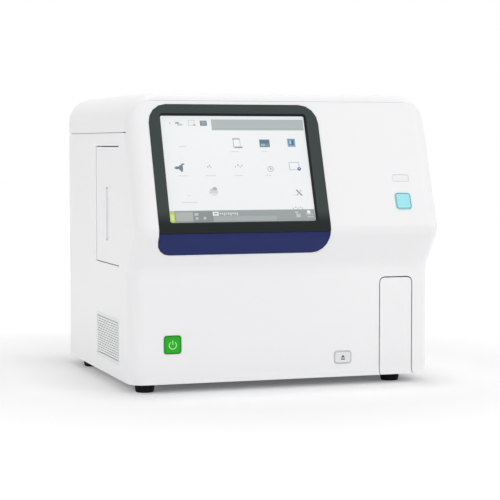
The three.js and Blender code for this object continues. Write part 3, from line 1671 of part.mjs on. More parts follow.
// Power supply: a box with cooling ribs on its lid
function powerSupply() {
  const supplyDepth = rearPlateY0 - supplyRearMargin - unitY0;
  const x0 = supplyX - supplyWidth / 2;
  const x1 = supplyX + supplyWidth / 2;
  const ribs = Array.from({ length: supplyRibCount }, (_, rib) => {
    const y = unitY0 + (supplyDepth * (rib + 1)) / (supplyRibCount + 1);
    return block(x0 + overrun, x1 - overrun, y - sheet / 2, y + sheet / 2, railZ + supplyHeight - sheet, railZ + supplyHeight + overrun);
  });
  return joined(block(x0, x1, unitY0, unitY0 + supplyDepth, railZ, railZ + supplyHeight), ...ribs);
}
add('power_supply', powerSupply(), 'zinc');

// Main board on the middle plate, with its larger chips
function mainBoard() {
  const y0 = midY + sheet + seatGap;
  const x0 = mainBoardX - mainBoardWidth / 2;
  const z0 = panTop + mainBoardUp;
  const board = block(x0, x0 + mainBoardWidth, y0, y0 + boardThickness, z0, z0 + mainBoardHeight);
  const pitch = mainBoardWidth / chipWidths.length;
  const chips = chipWidths.flatMap((width, place) => [1, 2].map((row) => {
    const x = x0 + pitch * (place + 0.5);
    const z = z0 + (mainBoardHeight * row) / 3;
    return block(x - width / 2, x + width / 2, y0 + boardThickness / 2, y0 + boardThickness + chipHeight, z - width / 2, z + width / 2);
  }));
  return joined(board, ...chips);
}
add('main_board', mainBoard(), 'board');

// Rear panel: a shallow tray with the fan's grille and the holes for what it carries
const rearHalf = halfWidth - heelRadius - seatGap;
const rearTop = topZ - rearPanelMargin;
const fanZ = floorZ + fanUp;
function grilleHoles() {
  const ringDepth = (fanBoreRadius - fanHubRadius / 2) / grilleRings;
  const sector = (2 * Math.PI) / grilleSectors;
  const holes = [];
  for (let ring = 0; ring < grilleRings; ring += 1) {
    const inner = fanHubRadius / 2 + ring * ringDepth + grilleBar / 2;
    const outer = fanHubRadius / 2 + (ring + 1) * ringDepth;
    for (let turn = 0; turn < grilleSectors; turn += 1) {
      const spread = (radius) => sector / 2 - grilleBar / 2 / radius;
      const middle = sector * (turn + 0.5);
      const arc = (radius, from, to) => sweep(grilleSteps, from, to, (angle) => new THREE.Vector2(
        fanAcross + radius * Math.cos(middle + angle),
        fanZ + radius * Math.sin(middle + angle),
      ));
      holes.push(new THREE.Shape([
        ...arc(outer, -spread(outer), spread(outer)),
        ...arc(inner, spread(inner), -spread(inner)),
      ]));
    }
  }
  return holes;
}
const inletZ = floorZ + inletUp;
const inletOutline = (grow) => plate(
  inletAcross - inletWidth / 2 - grow,
  inletAcross + inletWidth / 2 + grow,
  inletZ - grow,
  inletZ + inletHeight + grow,
);
const jackX = (jack) => socketsAcross + jackPitch * (jack - (jackWidths.length - 1) / 2);
const jackZ = floorZ + socketsUp;
const jackOutline = (jack, grow) => plate(
  jackX(jack) - jackWidths[jack] / 2 - grow,
  jackX(jack) + jackWidths[jack] / 2 + grow,
  jackZ - grow,
  jackZ + jackHeight + grow,
);
const portX = (port) => portsAcross + portPitch * (port - (portCount - 1) / 2);
const portZ = floorZ + portsUp;
const everyJack = jackWidths.map((_, jack) => jack);
const everyPort = Array.from({ length: portCount }, (_, port) => port);
function rearPanel() {
  const openings = [
    ...grilleHoles(),
    inletOutline(seatGap),
    ...everyJack.map((jack) => jackOutline(jack, runGap)),
    ...everyPort.map((port) => disc(portX(port), portZ, portRadius * 2)),
  ].map((outline) => alongY(outline, rearPlateY0 - overrun, rearPlateY1 + overrun));
  const face = cut(alongY(plate(-rearHalf, rearHalf, floorZ, rearTop), rearPlateY0, rearPlateY1), ...openings);
  const flangeY0 = rearY - rearEdgeRadius;
  const fold = (x0, x1, z0, z1) => block(x0, x1, flangeY0, rearPlateY0 + sheet / 2, z0, z1);
  return joined(
    face,
    fold(-rearHalf, sheet - rearHalf, floorZ, rearTop),
    fold(rearHalf - sheet, rearHalf, floorZ, rearTop),
    fold(-rearHalf, rearHalf, floorZ, floorZ + sheet),
    fold(-rearHalf, rearHalf, rearTop - sheet, rearTop),
  );
}
add('rear_panel', rearPanel(), 'white');

// Cooling fan: a square frame with a bore and spokes, and a rotor with pitched blades
const fanY1 = rearPlateY0 - seatGap;
const fanY0 = fanY1 - fanDepth;
function fanFrame() {
  const half = fanSize / 2;
  const body = alongY(
    plateWithHoles(
      plate(fanAcross - half, fanAcross + half, fanZ - half, fanZ + half, fanSpokeWidth),
      [disc(fanAcross, fanZ, fanBoreRadius, turnSteps)],
    ),
    fanY0,
    fanY1,
  );
  const hub = alongY(disc(fanAcross, fanZ, fanHubRadius - sheet, turnSteps), fanY0, fanY0 + fanSpokeWidth);
  const post = alongY(disc(fanAcross, fanZ, fanSpokeWidth / 2), fanY0, fanY1 - fanSpokeWidth * 2);
  const spoke = (turn) => new THREE.BoxGeometry(fanBoreRadius * 2 + sheet, fanSpokeWidth, fanSpokeWidth)
    .translate(0, fanY0 + fanSpokeWidth / 2, 0).rotateY(turn).translate(fanAcross, 0, fanZ);
  return joined(body, hub, post, spoke(Math.PI / 4), spoke(-Math.PI / 4));
}
add('fan_frame', fanFrame(), 'black');
function fanRotor() {
  const y0 = fanY0 + fanSpokeWidth + runGap;
  const y1 = fanY1 - fanSpokeWidth;
  const hub = cut(
    alongY(disc(fanAcross, fanZ, fanHubRadius, turnSteps), y0, y1),
    alongY(disc(fanAcross, fanZ, fanSpokeWidth / 2 + runGap), y0 - overrun, fanY1 - fanSpokeWidth * 2 + runGap),
  );
  const reach = fanBoreRadius - fanTipGap - fanHubRadius + sheet;
  const blade = (turn) => new THREE.BoxGeometry(reach, fanBladeThickness, fanBladeChord)
    .translate(fanHubRadius - sheet + reach / 2, 0, 0).rotateX(rad(fanBladeAngle))
    .rotateY(turn).translate(fanAcross, (y0 + y1) / 2, fanZ);
  const blades = Array.from({ length: fanBladeCount }, (_, place) => blade((2 * Math.PI * place) / fanBladeCount));
  return joined(hub, ...blades);
}
add('fan_rotor', fanRotor(), 'black');

// Power inlet: one moulding with the socket below and the switch's well above
const inletY1 = rearPlateY1 + inletProud;
const inletY0 = inletY1 - inletDepth;
const socketZ = inletZ + socketHeight / 2 + inletFlange;
const rockerZ = inletZ + inletHeight - rockerHeight / 2 - inletFlange;
const rockerY = inletY1 - rockerRadius / 2;
function powerInlet() {
  const body = alongY(inletOutline(0), inletY0, inletY1 - inletProud / 2);
  const rim = alongY(inletOutline(inletFlange), rearPlateY1 + seatGap, inletY1);
  const socket = alongY(
    plate(
      inletAcross - socketWidth / 2,
      inletAcross + socketWidth / 2,
      socketZ - socketHeight / 2,
      socketZ + socketHeight / 2,
      [sheet, sheet, inletFlange, inletFlange],
    ),
    inletY1 - socketDepth,
    inletY1 + overrun,
  );
  const pin = (x, z) => block(
    inletAcross + x - socketPinWidth / 2,
    inletAcross + x + socketPinWidth / 2,
    inletY1 - socketDepth - sheet,
    inletY1 - socketPinSink,
    socketZ + z - socketPinHeight / 2,
    socketZ + z + socketPinHeight / 2,
  );
  const well = block(
    inletAcross - rockerWidth / 2 - runGap,
    inletAcross + rockerWidth / 2 + runGap,
    rockerY - rockerRadius,
    inletY1 + overrun,
    rockerZ - rockerHeight / 2 - runGap * 2,
    rockerZ + rockerHeight / 2 + runGap * 2,
  );
  return joined(
    cut(joined(body, rim), socket, well),
    pin(-socketWidth / 4, -socketPinHeight / 2),
    pin(socketWidth / 4, -socketPinHeight / 2),
    pin(0, socketPinHeight / 2),
  );
}
add('power_inlet', powerInlet(), 'black');

// Rocker: two flats that meet at the middle, at rest with its lower half pressed in
function rocker() {
  const half = rockerHeight / 2;
  const dip = half * Math.tan(rad(rockerTilt));
  const outline = new THREE.Shape([
    [rockerY - half / 2, -half / 2],
    [rockerY, -half + runGap],
    [rockerY + rockerRadius / 2 - dip / 2, -half + runGap],
    [rockerY + rockerRadius / 2 - dip, 0],
    [rockerY + rockerRadius / 2 - dip / 2, half - runGap],
    [rockerY, half - runGap],
    [rockerY - half / 2, half / 2],
  ].map(([y, z]) => new THREE.Vector2(y, rockerZ + z)));
  return alongX(outline, inletAcross - rockerWidth / 2, inletAcross + rockerWidth / 2)
    .translate(0, -rockerY, -rockerZ).rotateX(rad(-rockerTilt)).translate(0, rockerY, rockerZ);
}
add('main_rocker', rocker(), 'black');

// Fluid ports: a plate with barbed nipples for diluent, lysing reagent and waste
function fluidPorts() {
  const plateHalf = (portPitch * (portCount - 1)) / 2 + portPlateMargin;
  const y0 = rearPlateY1 + seatGap;
  const base = alongY(
    plate(portsAcross - plateHalf, portsAcross + plateHalf, portZ - portPlateMargin, portZ + portPlateMargin, inletFlange),
    y0,
    y0 + portPlateThickness,
  );
  const tip = rearY + portReach;
  const step = (tip - y0 - portPlateThickness) / 3;
  const nipple = (port) => new THREE.LatheGeometry([
    [0, rearPlateY0 - overrun],
    [portRadius, rearPlateY0 - overrun],
    [portRadius, tip - step * 2],
    [portRadius + portBarb, tip - step * 2],
    [portRadius, tip - step],
    [portRadius + portBarb, tip - step],
    [portRadius - portBarb, tip],
    [0, tip],
  ].map(([radius, height]) => new THREE.Vector2(radius, height)), smallTurnSteps).translate(portX(port), 0, portZ);
  return joined(base, ...everyPort.map(nipple));
}
add('fluid_ports', fluidPorts(), 'moulding');

// Interface board: behind the rear panel, its jacks stand in the panel's holes
function interfaceBoard() {
  const y1 = rearPlateY0 - seatGap;
  const z0 = jackZ - jackHeight;
  const board = block(
    socketsAcross - interfaceWidth / 2,
    socketsAcross + interfaceWidth / 2,
    y1 - boardThickness,
    y1,
    z0,
    z0 + interfaceHeight,
  );
  const jacks = everyJack.map((jack) => alongY(jackOutline(jack, 0), y1 - jackDepth, rearPlateY1 + sheet / 2));
  const sockets = everyJack.map(
    (jack) => alongY(jackOutline(jack, -boardThickness), rearPlateY1 - jackDepth / 2, rearPlateY1 + overrun),
  );
  return cut(joined(board, ...jacks), ...sockets);
}
add('interface_board', interfaceBoard(), 'board');

export default analyzer;
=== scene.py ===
import json
import math
import bmesh
import bpy
from mathutils import Matrix, Vector

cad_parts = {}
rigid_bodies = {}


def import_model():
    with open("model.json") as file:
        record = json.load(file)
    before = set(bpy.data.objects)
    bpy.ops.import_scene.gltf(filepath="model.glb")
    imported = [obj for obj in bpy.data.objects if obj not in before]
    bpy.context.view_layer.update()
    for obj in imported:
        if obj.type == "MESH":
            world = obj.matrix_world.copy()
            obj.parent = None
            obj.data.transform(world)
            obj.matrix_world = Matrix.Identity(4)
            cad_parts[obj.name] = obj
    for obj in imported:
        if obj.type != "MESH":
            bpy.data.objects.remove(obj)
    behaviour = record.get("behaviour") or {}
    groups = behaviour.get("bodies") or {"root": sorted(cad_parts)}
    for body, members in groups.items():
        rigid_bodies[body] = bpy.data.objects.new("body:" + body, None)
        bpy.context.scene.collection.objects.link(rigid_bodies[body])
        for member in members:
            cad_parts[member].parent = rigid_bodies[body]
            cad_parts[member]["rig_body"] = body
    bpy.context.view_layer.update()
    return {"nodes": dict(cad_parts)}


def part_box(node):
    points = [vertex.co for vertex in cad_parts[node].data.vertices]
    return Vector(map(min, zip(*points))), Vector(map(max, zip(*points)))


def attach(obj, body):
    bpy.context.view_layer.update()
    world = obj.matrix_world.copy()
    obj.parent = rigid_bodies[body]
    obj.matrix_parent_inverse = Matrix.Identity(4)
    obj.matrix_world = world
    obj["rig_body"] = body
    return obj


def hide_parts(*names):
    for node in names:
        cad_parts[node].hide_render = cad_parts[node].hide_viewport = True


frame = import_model()

# The view: a long lens a little above the bench, turned towards the left side, as a catalogue
# picture of a bench-top instrument is taken. Place in metres, angles in degrees.
eye_place = (-0.80884, -2.44749, 0.34450)
eye_down, eye_right = 3.56, 18.49
lens = bpy.data.cameras.new("view")
lens.sensor_width = 36
lens.lens = 122.82
camera = bpy.data.objects.new("view", lens)
camera.location = eye_place
camera.rotation_euler = (math.radians(90 - eye_down), 0, math.radians(-eye_right))
bpy.context.scene.collection.objects.link(camera)
bpy.context.scene.camera = camera
bpy.context.scene.view_settings.view_transform = "Standard"


# The studio: a white room that lights from all round, dimmer along the floor and overhead. A large
# softbox stands at the front right, a weaker one at the left, and a small lamp hangs above.
def linear(code):
    """A colour written as sRGB hex, in the linear values that shaders take."""
    parts = [int(code[place:place + 2], 16) / 255 for place in (0, 2, 4)]
    toe = [v / 12.92 if v <= 0.04045 else ((v + 0.055) / 1.055) ** 2.4 for v in parts]
    return (*toe, 1.0)


def add_node(tree, kind, values=None, links=None):
    """One shader node with its settings, its socket values and the sockets that feed it."""
    node = tree.nodes.new(kind)
    for name, value in (values or {}).items():
        if isinstance(name, int) or name in node.inputs:
            node.inputs[name].default_value = value
        else:
            setattr(node, name, value)
    for name, source in (links or {}).items():
        tree.links.new(source, node.inputs[name])
    return node


def seen_white(tree):
    """One for the rays that should meet plain white: of the eye, of a gloss and through glass."""
    path = add_node(tree, "ShaderNodeLightPath")
    some = add_node(tree, "ShaderNodeMath", {"operation": "MAXIMUM"},
                    {0: path.outputs["Is Camera Ray"], 1: path.outputs["Is Glossy Ray"]})
    return add_node(tree, "ShaderNodeMath", {"operation": "MAXIMUM"},
                    {0: some.outputs[0], 1: path.outputs["Is Transmission Ray"]}).outputs[0]


world = bpy.data.worlds.new("white room")
bpy.context.scene.world = world
world.use_nodes = True
room_tree = world.node_tree
room_tree.nodes.clear()
pure_white = (1, 1, 1, 1)
wall_foot, foot_light, wall_light = 0.28, 0.12, 1.03
ceiling_edge, ceiling_middle, ceiling_light = 0.6, 0.85, 0.25
heading = add_node(room_tree, "ShaderNodeSeparateXYZ", {},
                   {0: add_node(room_tree, "ShaderNodeTexCoord").outputs["Generated"]})
wall = add_node(room_tree, "ShaderNodeMapRange", {
    "From Min": 0.0, "From Max": wall_foot, "To Min": foot_light, "To Max": wall_light,
}, {0: heading.outputs["Z"]})
ceiling = add_node(room_tree, "ShaderNodeMapRange", {
    "From Min": ceiling_edge, "From Max": ceiling_middle, "To Min": 1.0, "To Max": ceiling_light,
}, {0: heading.outputs["Z"]})
both = add_node(room_tree, "ShaderNodeMath", {"operation": "MULTIPLY"},
                {0: wall.outputs[0], 1: ceiling.outputs[0]})
room_light = add_node(room_tree, "ShaderNodeBackground", {"Color": pure_white},
                      {"Strength": both.outputs[0]})
room_seen = add_node(room_tree, "ShaderNodeBackground", {"Color": pure_white, "Strength": 1.0})
room = add_node(room_tree, "ShaderNodeMixShader", {},
                {0: seen_white(room_tree), 1: room_light.outputs[0], 2: room_seen.outputs[0]})
add_node(room_tree, "ShaderNodeOutputWorld", {}, {"Surface": room.outputs[0]})

body_middle = (0, 0, 0.2)
for name, size, energy, place, aim in (
    ("softbox", 2.4, 62, (4.6, -4.6, 2.3), body_middle),
    ("fill", 2.4, 25, (-6.0, -2.0, 2.0), body_middle),
    ("overhead", 0.7, 15, (0.1, -0.1, 2.6), (0.1, -0.1, 0)),
):
    lamp = bpy.data.lights.new(name, "AREA")
    lamp.size = size
    lamp.energy = energy
    stand = bpy.data.objects.new(name, lamp)
    stand.location = place
    stand.rotation_euler = (Vector(place) - Vector(aim)).to_track_quat("Z", "Y").to_euler()
    bpy.context.scene.collection.objects.link(stand)

# The floor: a sweep of white paper. It keeps the soft shadow under the instrument, and away from it
# turns pure white to the eye, as an overexposed sweep does, so that no horizon shows.
near_reach, far_reach = 0.4, 1.1
near_glow, far_glow = 0.07, 0.4
half_width = 12
paper = bpy.data.materials.new("white paper")
paper.use_nodes = True
paper_tree = paper.node_tree
paper_tree.nodes.clear()
paper_face = add_node(paper_tree, "ShaderNodeBsdfDiffuse", {"Color": linear("fafafa")})
from_middle = add_node(paper_tree, "ShaderNodeVectorMath", {"operation": "LENGTH"},
                       {0: add_node(paper_tree, "ShaderNodeTexCoord").outputs["Object"]})
far_white = add_node(paper_tree, "ShaderNodeMapRange", {
    "From Min": near_reach, "From Max": far_reach, "To Min": near_glow, "To Max": far_glow,
}, {0: from_middle.outputs["Value"]})
seen_glow = add_node(paper_tree, "ShaderNodeMath", {"operation": "MULTIPLY"},
                     {0: seen_white(paper_tree), 1: far_white.outputs[0]})
paper_glow = add_node(paper_tree, "ShaderNodeEmission", {"Color": pure_white},
                      {"Strength": seen_glow.outputs[0]})
paper_sum = add_node(paper_tree, "ShaderNodeAddShader", {},
                     {0: paper_face.outputs[0], 1: paper_glow.outputs[0]})
add_node(paper_tree, "ShaderNodeOutputMaterial", {}, {"Surface": paper_sum.outputs[0]})
floor_form = bmesh.new()
bmesh.ops.create_grid(floor_form, x_segments=1, y_segments=1, size=half_width)
floor_mesh = bpy.data.meshes.new("floor")
floor_form.to_mesh(floor_mesh)
floor_form.free()
floor_mesh.materials.append(paper)
floor = bpy.data.objects.new("floor", floor_mesh)
bpy.context.scene.collection.objects.link(floor)


# Covers: thick injection moulded ABS, cool white with a satin spark grain. The front, top and side
# covers hang on the chassis with a fine open seam between them, and the door closes flush.
def moulded(name, colour, roughness, grain, depth=0.04, shade=0.97, gloss_level=0.5):
    """Moulded plastic. Its grain is a noise, grain across and depth deep in millimetres, in gloss
    and relief. Slow drifts in the colour go down to shade."""
    noise_low, noise_high, gloss_swing = 0.3, 0.7, 0.05
    drifts_a_metre, relief_share = 9.0, 0.5
    material = bpy.data.materials.new(name)
    material.use_nodes = True
    tree = material.node_tree
    shader = tree.nodes["Principled BSDF"]
    shader.inputs["IOR"].default_value = 1.5
    shader.inputs["Specular IOR Level"].default_value = gloss_level
    place = add_node(tree, "ShaderNodeTexCoord").outputs["Object"]
    spark = add_node(tree, "ShaderNodeTexNoise", {"Scale": 1000 / grain, "Detail": 2.0},
                     {"Vector": place})
    drift = add_node(tree, "ShaderNodeTexNoise", {"Scale": drifts_a_metre, "Detail": 2.0},
                     {"Vector": place})
    base = linear(colour)
    tint = add_node(tree, "ShaderNodeMix", {
        "data_type": "RGBA", 6: base, 7: (*(shade * v for v in base[:3]), 1.0),
    }, {0: drift.outputs[0]})
    tree.links.new(tint.outputs[2], shader.inputs["Base Color"])
    gloss = add_node(tree, "ShaderNodeMapRange", {
        "From Min": noise_low, "From Max": noise_high,
        "To Min": roughness - gloss_swing, "To Max": roughness + gloss_swing,
    }, {0: spark.outputs[0]})
    tree.links.new(gloss.outputs[0], shader.inputs["Roughness"])
    relief = add_node(tree, "ShaderNodeBump", {"Strength": relief_share, "Distance": depth / 1000},
                      {"Height": spark.outputs[0]})
    tree.links.new(relief.outputs[0], shader.inputs["Normal"])
    return material


sharp_angle = math.radians(31)


def dressed(node, material, corner=0.3):
    """A CAD piece as it leaves its tool: whole faces, smooth curves, and corners broken by so many
    millimetres."""
    weld_reach, flat_angle = 1e-6, math.radians(0.4)
    form = bmesh.new()
    form.from_mesh(frame["nodes"][node].data)
    bmesh.ops.remove_doubles(form, verts=form.verts, dist=weld_reach)
    bmesh.ops.dissolve_limit(form, angle_limit=flat_angle, verts=form.verts, edges=form.edges)
    for face in form.faces:
        face.smooth = True
    for edge in form.edges:
        edge.smooth = edge.calc_face_angle(math.pi) < sharp_angle
    mesh = bpy.data.meshes.new(node + "_dressed")
    form.to_mesh(mesh)
    form.free()
    mesh.materials.clear()
    mesh.materials.append(material)
    piece = bpy.data.objects.new(node + "_dressed", mesh)
    bpy.context.scene.collection.objects.link(piece)
    if corner:
        broken = piece.modifiers.new("broken corners", "BEVEL")
        broken.width = corner / 1000
        broken.segments = 2
        broken.limit_method = "ANGLE"
        broken.angle_limit = sharp_angle
        broken.use_clamp_overlap = True
    even = piece.modifiers.new("even faces", "WEIGHTED_NORMAL")
    even.keep_sharp = True
    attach(piece, frame["nodes"][node]["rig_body"])
    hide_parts(node)
    return piece


cover_white = moulded("satin white ABS", "fafafb", 0.42, 0.9, shade=0.985)
cover_corner = 0.12
for cover in ("front_cover", "top_cover", "left_side_panel", "right_side_panel", "drawer_front"):
    dressed(cover, cover_white, cover_corner)

# Reagent door: the same moulding as the covers. The scoop of its grip is smoother and painted a
# darker
# grey: painted shade in the recess. The scoop's faces are those behind the door's skin within the
# grip's bounds.
grip_front, grip_rear = -0.0578, -0.0464
grip_low, grip_high = 0.207, 0.281
door_skin = -0.2249
door = dressed("reagent_door", cover_white, cover_corner)
painted_grip_shade = moulded("satin white ABS, painted grip shade", "c6c8c8", 0.3, 0.9, shade=0.985)
door.data.materials.append(painted_grip_shade)
for face in door.data.polygons:
    middle = face.center
    in_grip = grip_front < middle.y < grip_rear and grip_low < middle.z < grip_high
    if in_grip and middle.x > door_skin:
        face.material_index = 1

# Vent: a moulded grille flush with the side panel, and a sheet of filter fleece behind its slats.
fleece = moulded("grey filter fleece", "f0f3f2", 0.9, 0.6, depth=0.3, shade=0.92)
dressed("left_vent_grille", moulded("fine grey ABS", "f3f6f5", 0.5, 0.9), 0.2)
dressed("vent_filter", fleece, 0)

# Rear panel: pressed sheet steel, powder coated. The fan blows out through three rings of slots
# that are punched in it, and their long edges are true arcs about the fan's middle.
rear = dressed("rear_panel", moulded("white powder coat", "eef0f0", 0.5, 1.4, depth=0.08))
fan_low, fan_high = (Vector(corner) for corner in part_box("fan_frame"))
fan_middle = (fan_low + fan_high) / 2
grille_reach = 0.0371
same_radius, same_depth = 1e-5, 1e-6
arc_cuts = 3


def off_fan(vert):
    """How far a corner lies from the fan's axle."""
    return math.hypot(vert.co.x - fan_middle.x, vert.co.z - fan_middle.z)


def is_arc(edge):
    """Whether an edge of the grille runs round the fan at one radius and one depth."""
    start, end = edge.verts
    round_fan = off_fan(start) < grille_reach and abs(off_fan(start) - off_fan(end)) < same_radius
    return round_fan and abs(start.co.y - end.co.y) < same_depth


punched = bmesh.new()
punched.from_mesh(rear.data)
radii = sorted({round(off_fan(vert), 5) for vert in punched.verts if off_fan(vert) < grille_reach})
arcs = [edge for edge in punched.edges if is_arc(edge)]
bmesh.ops.subdivide_edges(punched, edges=arcs, cuts=arc_cuts, use_grid_fill=True)
for vert in punched.verts:
    if off_fan(vert) < grille_reach:
        radius = next(radius for radius in radii if radius > off_fan(vert) - 2 * same_radius)
        stretch = radius / off_fan(vert)
        vert.co.x = fan_middle.x + (vert.co.x - fan_middle.x) * stretch
        vert.co.z = fan_middle.z + (vert.co.z - fan_middle.z) * stretch
for edge in punched.edges:
    edge.smooth = edge.calc_face_angle(math.pi) < sharp_angle
punched.to_mesh(rear.data)
punched.free()

# The leaning face, as a place for what lies on it: its slope in degrees, a point of it in metres
# at the end of the nose, and the lit screen's bounds on it in millimetres.
lean = math.radians(19.88)
lean_origin = Vector((0, -0.221587, 0.231227))
lean_out = Vector((0, -math.cos(lean), math.sin(lean)))
lean_up = Vector((0, math.sin(lean), math.cos(lean)))
lean_turn = Matrix((Vector((1, 0, 0)), lean_up, lean_out)).transposed().to_4x4()
screen_left, screen_width, screen_low, screen_height = -176.2, 210.5, 8.0, 154.5

# Display surround: a dark satin ABS bezel, painted darker where it turns under at its foot as
# painted shade, over a deep blue trim that wraps the nose. Both stand a little proud of the front
# cover.
# The bezel's inner slope, round the screen, is painted black: painted shade of the deep recess,
# which also stands for the black border of the screen's film.
turn_low, turn_high, turn_shade = 0.236, 0.252, 0.29
shade_reach, shade_deep, shade_proud, shade_facing = 4, -3.4, 0.7, 0.98
bezel_plastic = moulded("dark satin ABS", "3e4745", 0.34, 0.7,
                        depth=0.02, shade=0.96, gloss_level=0.15)
trim_plastic = moulded("deep blue ABS", "242f67", 0.34, 0.7,
                       depth=0.02, shade=0.96, gloss_level=0.15)
slope_shade_ink = moulded("black ink, painted slope shade", "141817", 0.5, 0.7,
                   depth=0.02, shade=0.96, gloss_level=0.2)
bezel_tree = bezel_plastic.node_tree
bezel_face = bezel_tree.nodes["Principled BSDF"].inputs["Base Color"]
# Painted shade: below turn_high the bezel's colour darkens, down to turn_shade of itself at
# turn_low.
height = add_node(bezel_tree, "ShaderNodeSeparateXYZ", {},
                  {0: add_node(bezel_tree, "ShaderNodeTexCoord").outputs["Object"]}).outputs["Z"]
painted_foot_shade = add_node(bezel_tree, "ShaderNodeMapRange", {
    "From Min": turn_low, "From Max": turn_high, "To Min": turn_shade, "To Max": 1.0,
}, {0: height})
painted_foot_tint = add_node(bezel_tree, "ShaderNodeVectorMath", {"operation": "SCALE"},
                    {0: bezel_face.links[0].from_socket, 3: painted_foot_shade.outputs[0]})
bezel_tree.links.new(painted_foot_tint.outputs[0], bezel_face)
bezel = dressed("display_bezel", bezel_plastic, 0.5)
# Painted shade: the faces of the inner slope round the screen take the black ink.
bezel.data.materials.append(slope_shade_ink)
for face in bezel.data.polygons:
    across, up, out = (lean_turn.to_3x3().transposed() @ (face.center - lean_origin)) * 1000
    beside = -shade_reach < across - screen_left < screen_width + shade_reach
    level = -shade_reach < up - screen_low < screen_height + shade_reach
    slopes = shade_deep < out < shade_proud and face.normal.dot(lean_out) < shade_facing
    if beside and level and slopes:
        face.material_index = 1
dressed("lower_trim", trim_plastic, 0.5)


# Screen: a resistive film over the lit panel. The picture is a plain menu: a title bar, rows of
# small pictograms and a status bar, as thin layers of ink under the film.
def lit(name, colour=None):
    """The lit screen: half its light is its own, and half is the room's on the film. Without a
    colour it takes the ink of the picture's faces."""
    own_light, room_share = 0.46, 0.5
    drifts_a_metre, drift_swing = 5.0, 0.03
    material = bpy.data.materials.new(name)
    material.use_nodes = True
    tree = material.node_tree
    shader = tree.nodes["Principled BSDF"]
    shader.inputs["Roughness"].default_value = 0.2
    shader.inputs["Emission Strength"].default_value = own_light
    if colour:
        plain = add_node(tree, "ShaderNodeRGB")
        plain.outputs[0].default_value = linear(colour)
        ink = plain.outputs[0]
    else:
        ink = add_node(tree, "ShaderNodeAttribute", {"attribute_name": "ink"}).outputs["Color"]
    place = add_node(tree, "ShaderNodeTexCoord").outputs["Object"]
    drift = add_node(tree, "ShaderNodeTexNoise", {"Scale": drifts_a_metre, "Detail": 0.0},
                     {"Vector": place})
    dim = add_node(tree, "ShaderNodeMapRange",
                   {"To Min": 1 - drift_swing, "To Max": 1 + drift_swing}, {0: drift.outputs[0]})
    own = add_node(tree, "ShaderNodeVectorMath", {"operation": "SCALE"},
                   {0: ink, 3: dim.outputs[0]})
    film = add_node(tree, "ShaderNodeVectorMath", {"operation": "SCALE", 3: room_share},
                    {0: own.outputs[0]})
    tree.links.new(film.outputs[0], shader.inputs["Base Color"])
    tree.links.new(own.outputs[0], shader.inputs["Emission Color"])
    return material


def on_lean(across, up, out):
    """The place, in metres, of a point of the leaning face given in millimetres."""
    shift = Matrix.Translation(Vector((across, up, out)) / 1000)
    return Matrix.Translation(lean_origin) @ lean_turn @ shift


dressed("touch_screen", lit("lit film", "f7f9fa"), 0)
film_depth, layer_step = -3.3, 0.03
picture = bmesh.new()
ink_layer = picture.loops.layers.float_color.new("ink")


def on_screen(left, top, layer):
    """The place of a point of the picture, given in shares of the screen from its top left."""
    return on_lean(
        screen_left + left * screen_width,
        screen_low + (1 - top) * screen_height,
        film_depth + layer_step * layer,
    )


def stamp(made, colour):
    """Colours the faces around freshly made corners."""
    for face in {face for vert in made["verts"] for face in vert.link_faces}:
        for loop in face.loops:
            loop[ink_layer] = linear(colour)


def ink_box(left, top, width, height, colour, layer=1):
    """A filled box of the picture, from its top left corner."""
    size = Matrix.Diagonal((width * screen_width / 1000, height * screen_height / 1000, 1, 1))
    place = on_screen(left + width / 2, top + height / 2, layer) @ size
    stamp(bmesh.ops.create_grid(picture, x_segments=1, y_segments=1, size=0.5, matrix=place),
          colour)


def ink_disc(middle, top, across, colour, layer=1, corners=20):
    """A filled disc of the picture, about its middle."""
    stamp(bmesh.ops.create_circle(
        picture, cap_ends=True, segments=corners, radius=across * screen_width / 2000,
        matrix=on_screen(middle, top, layer),
    ), colour)


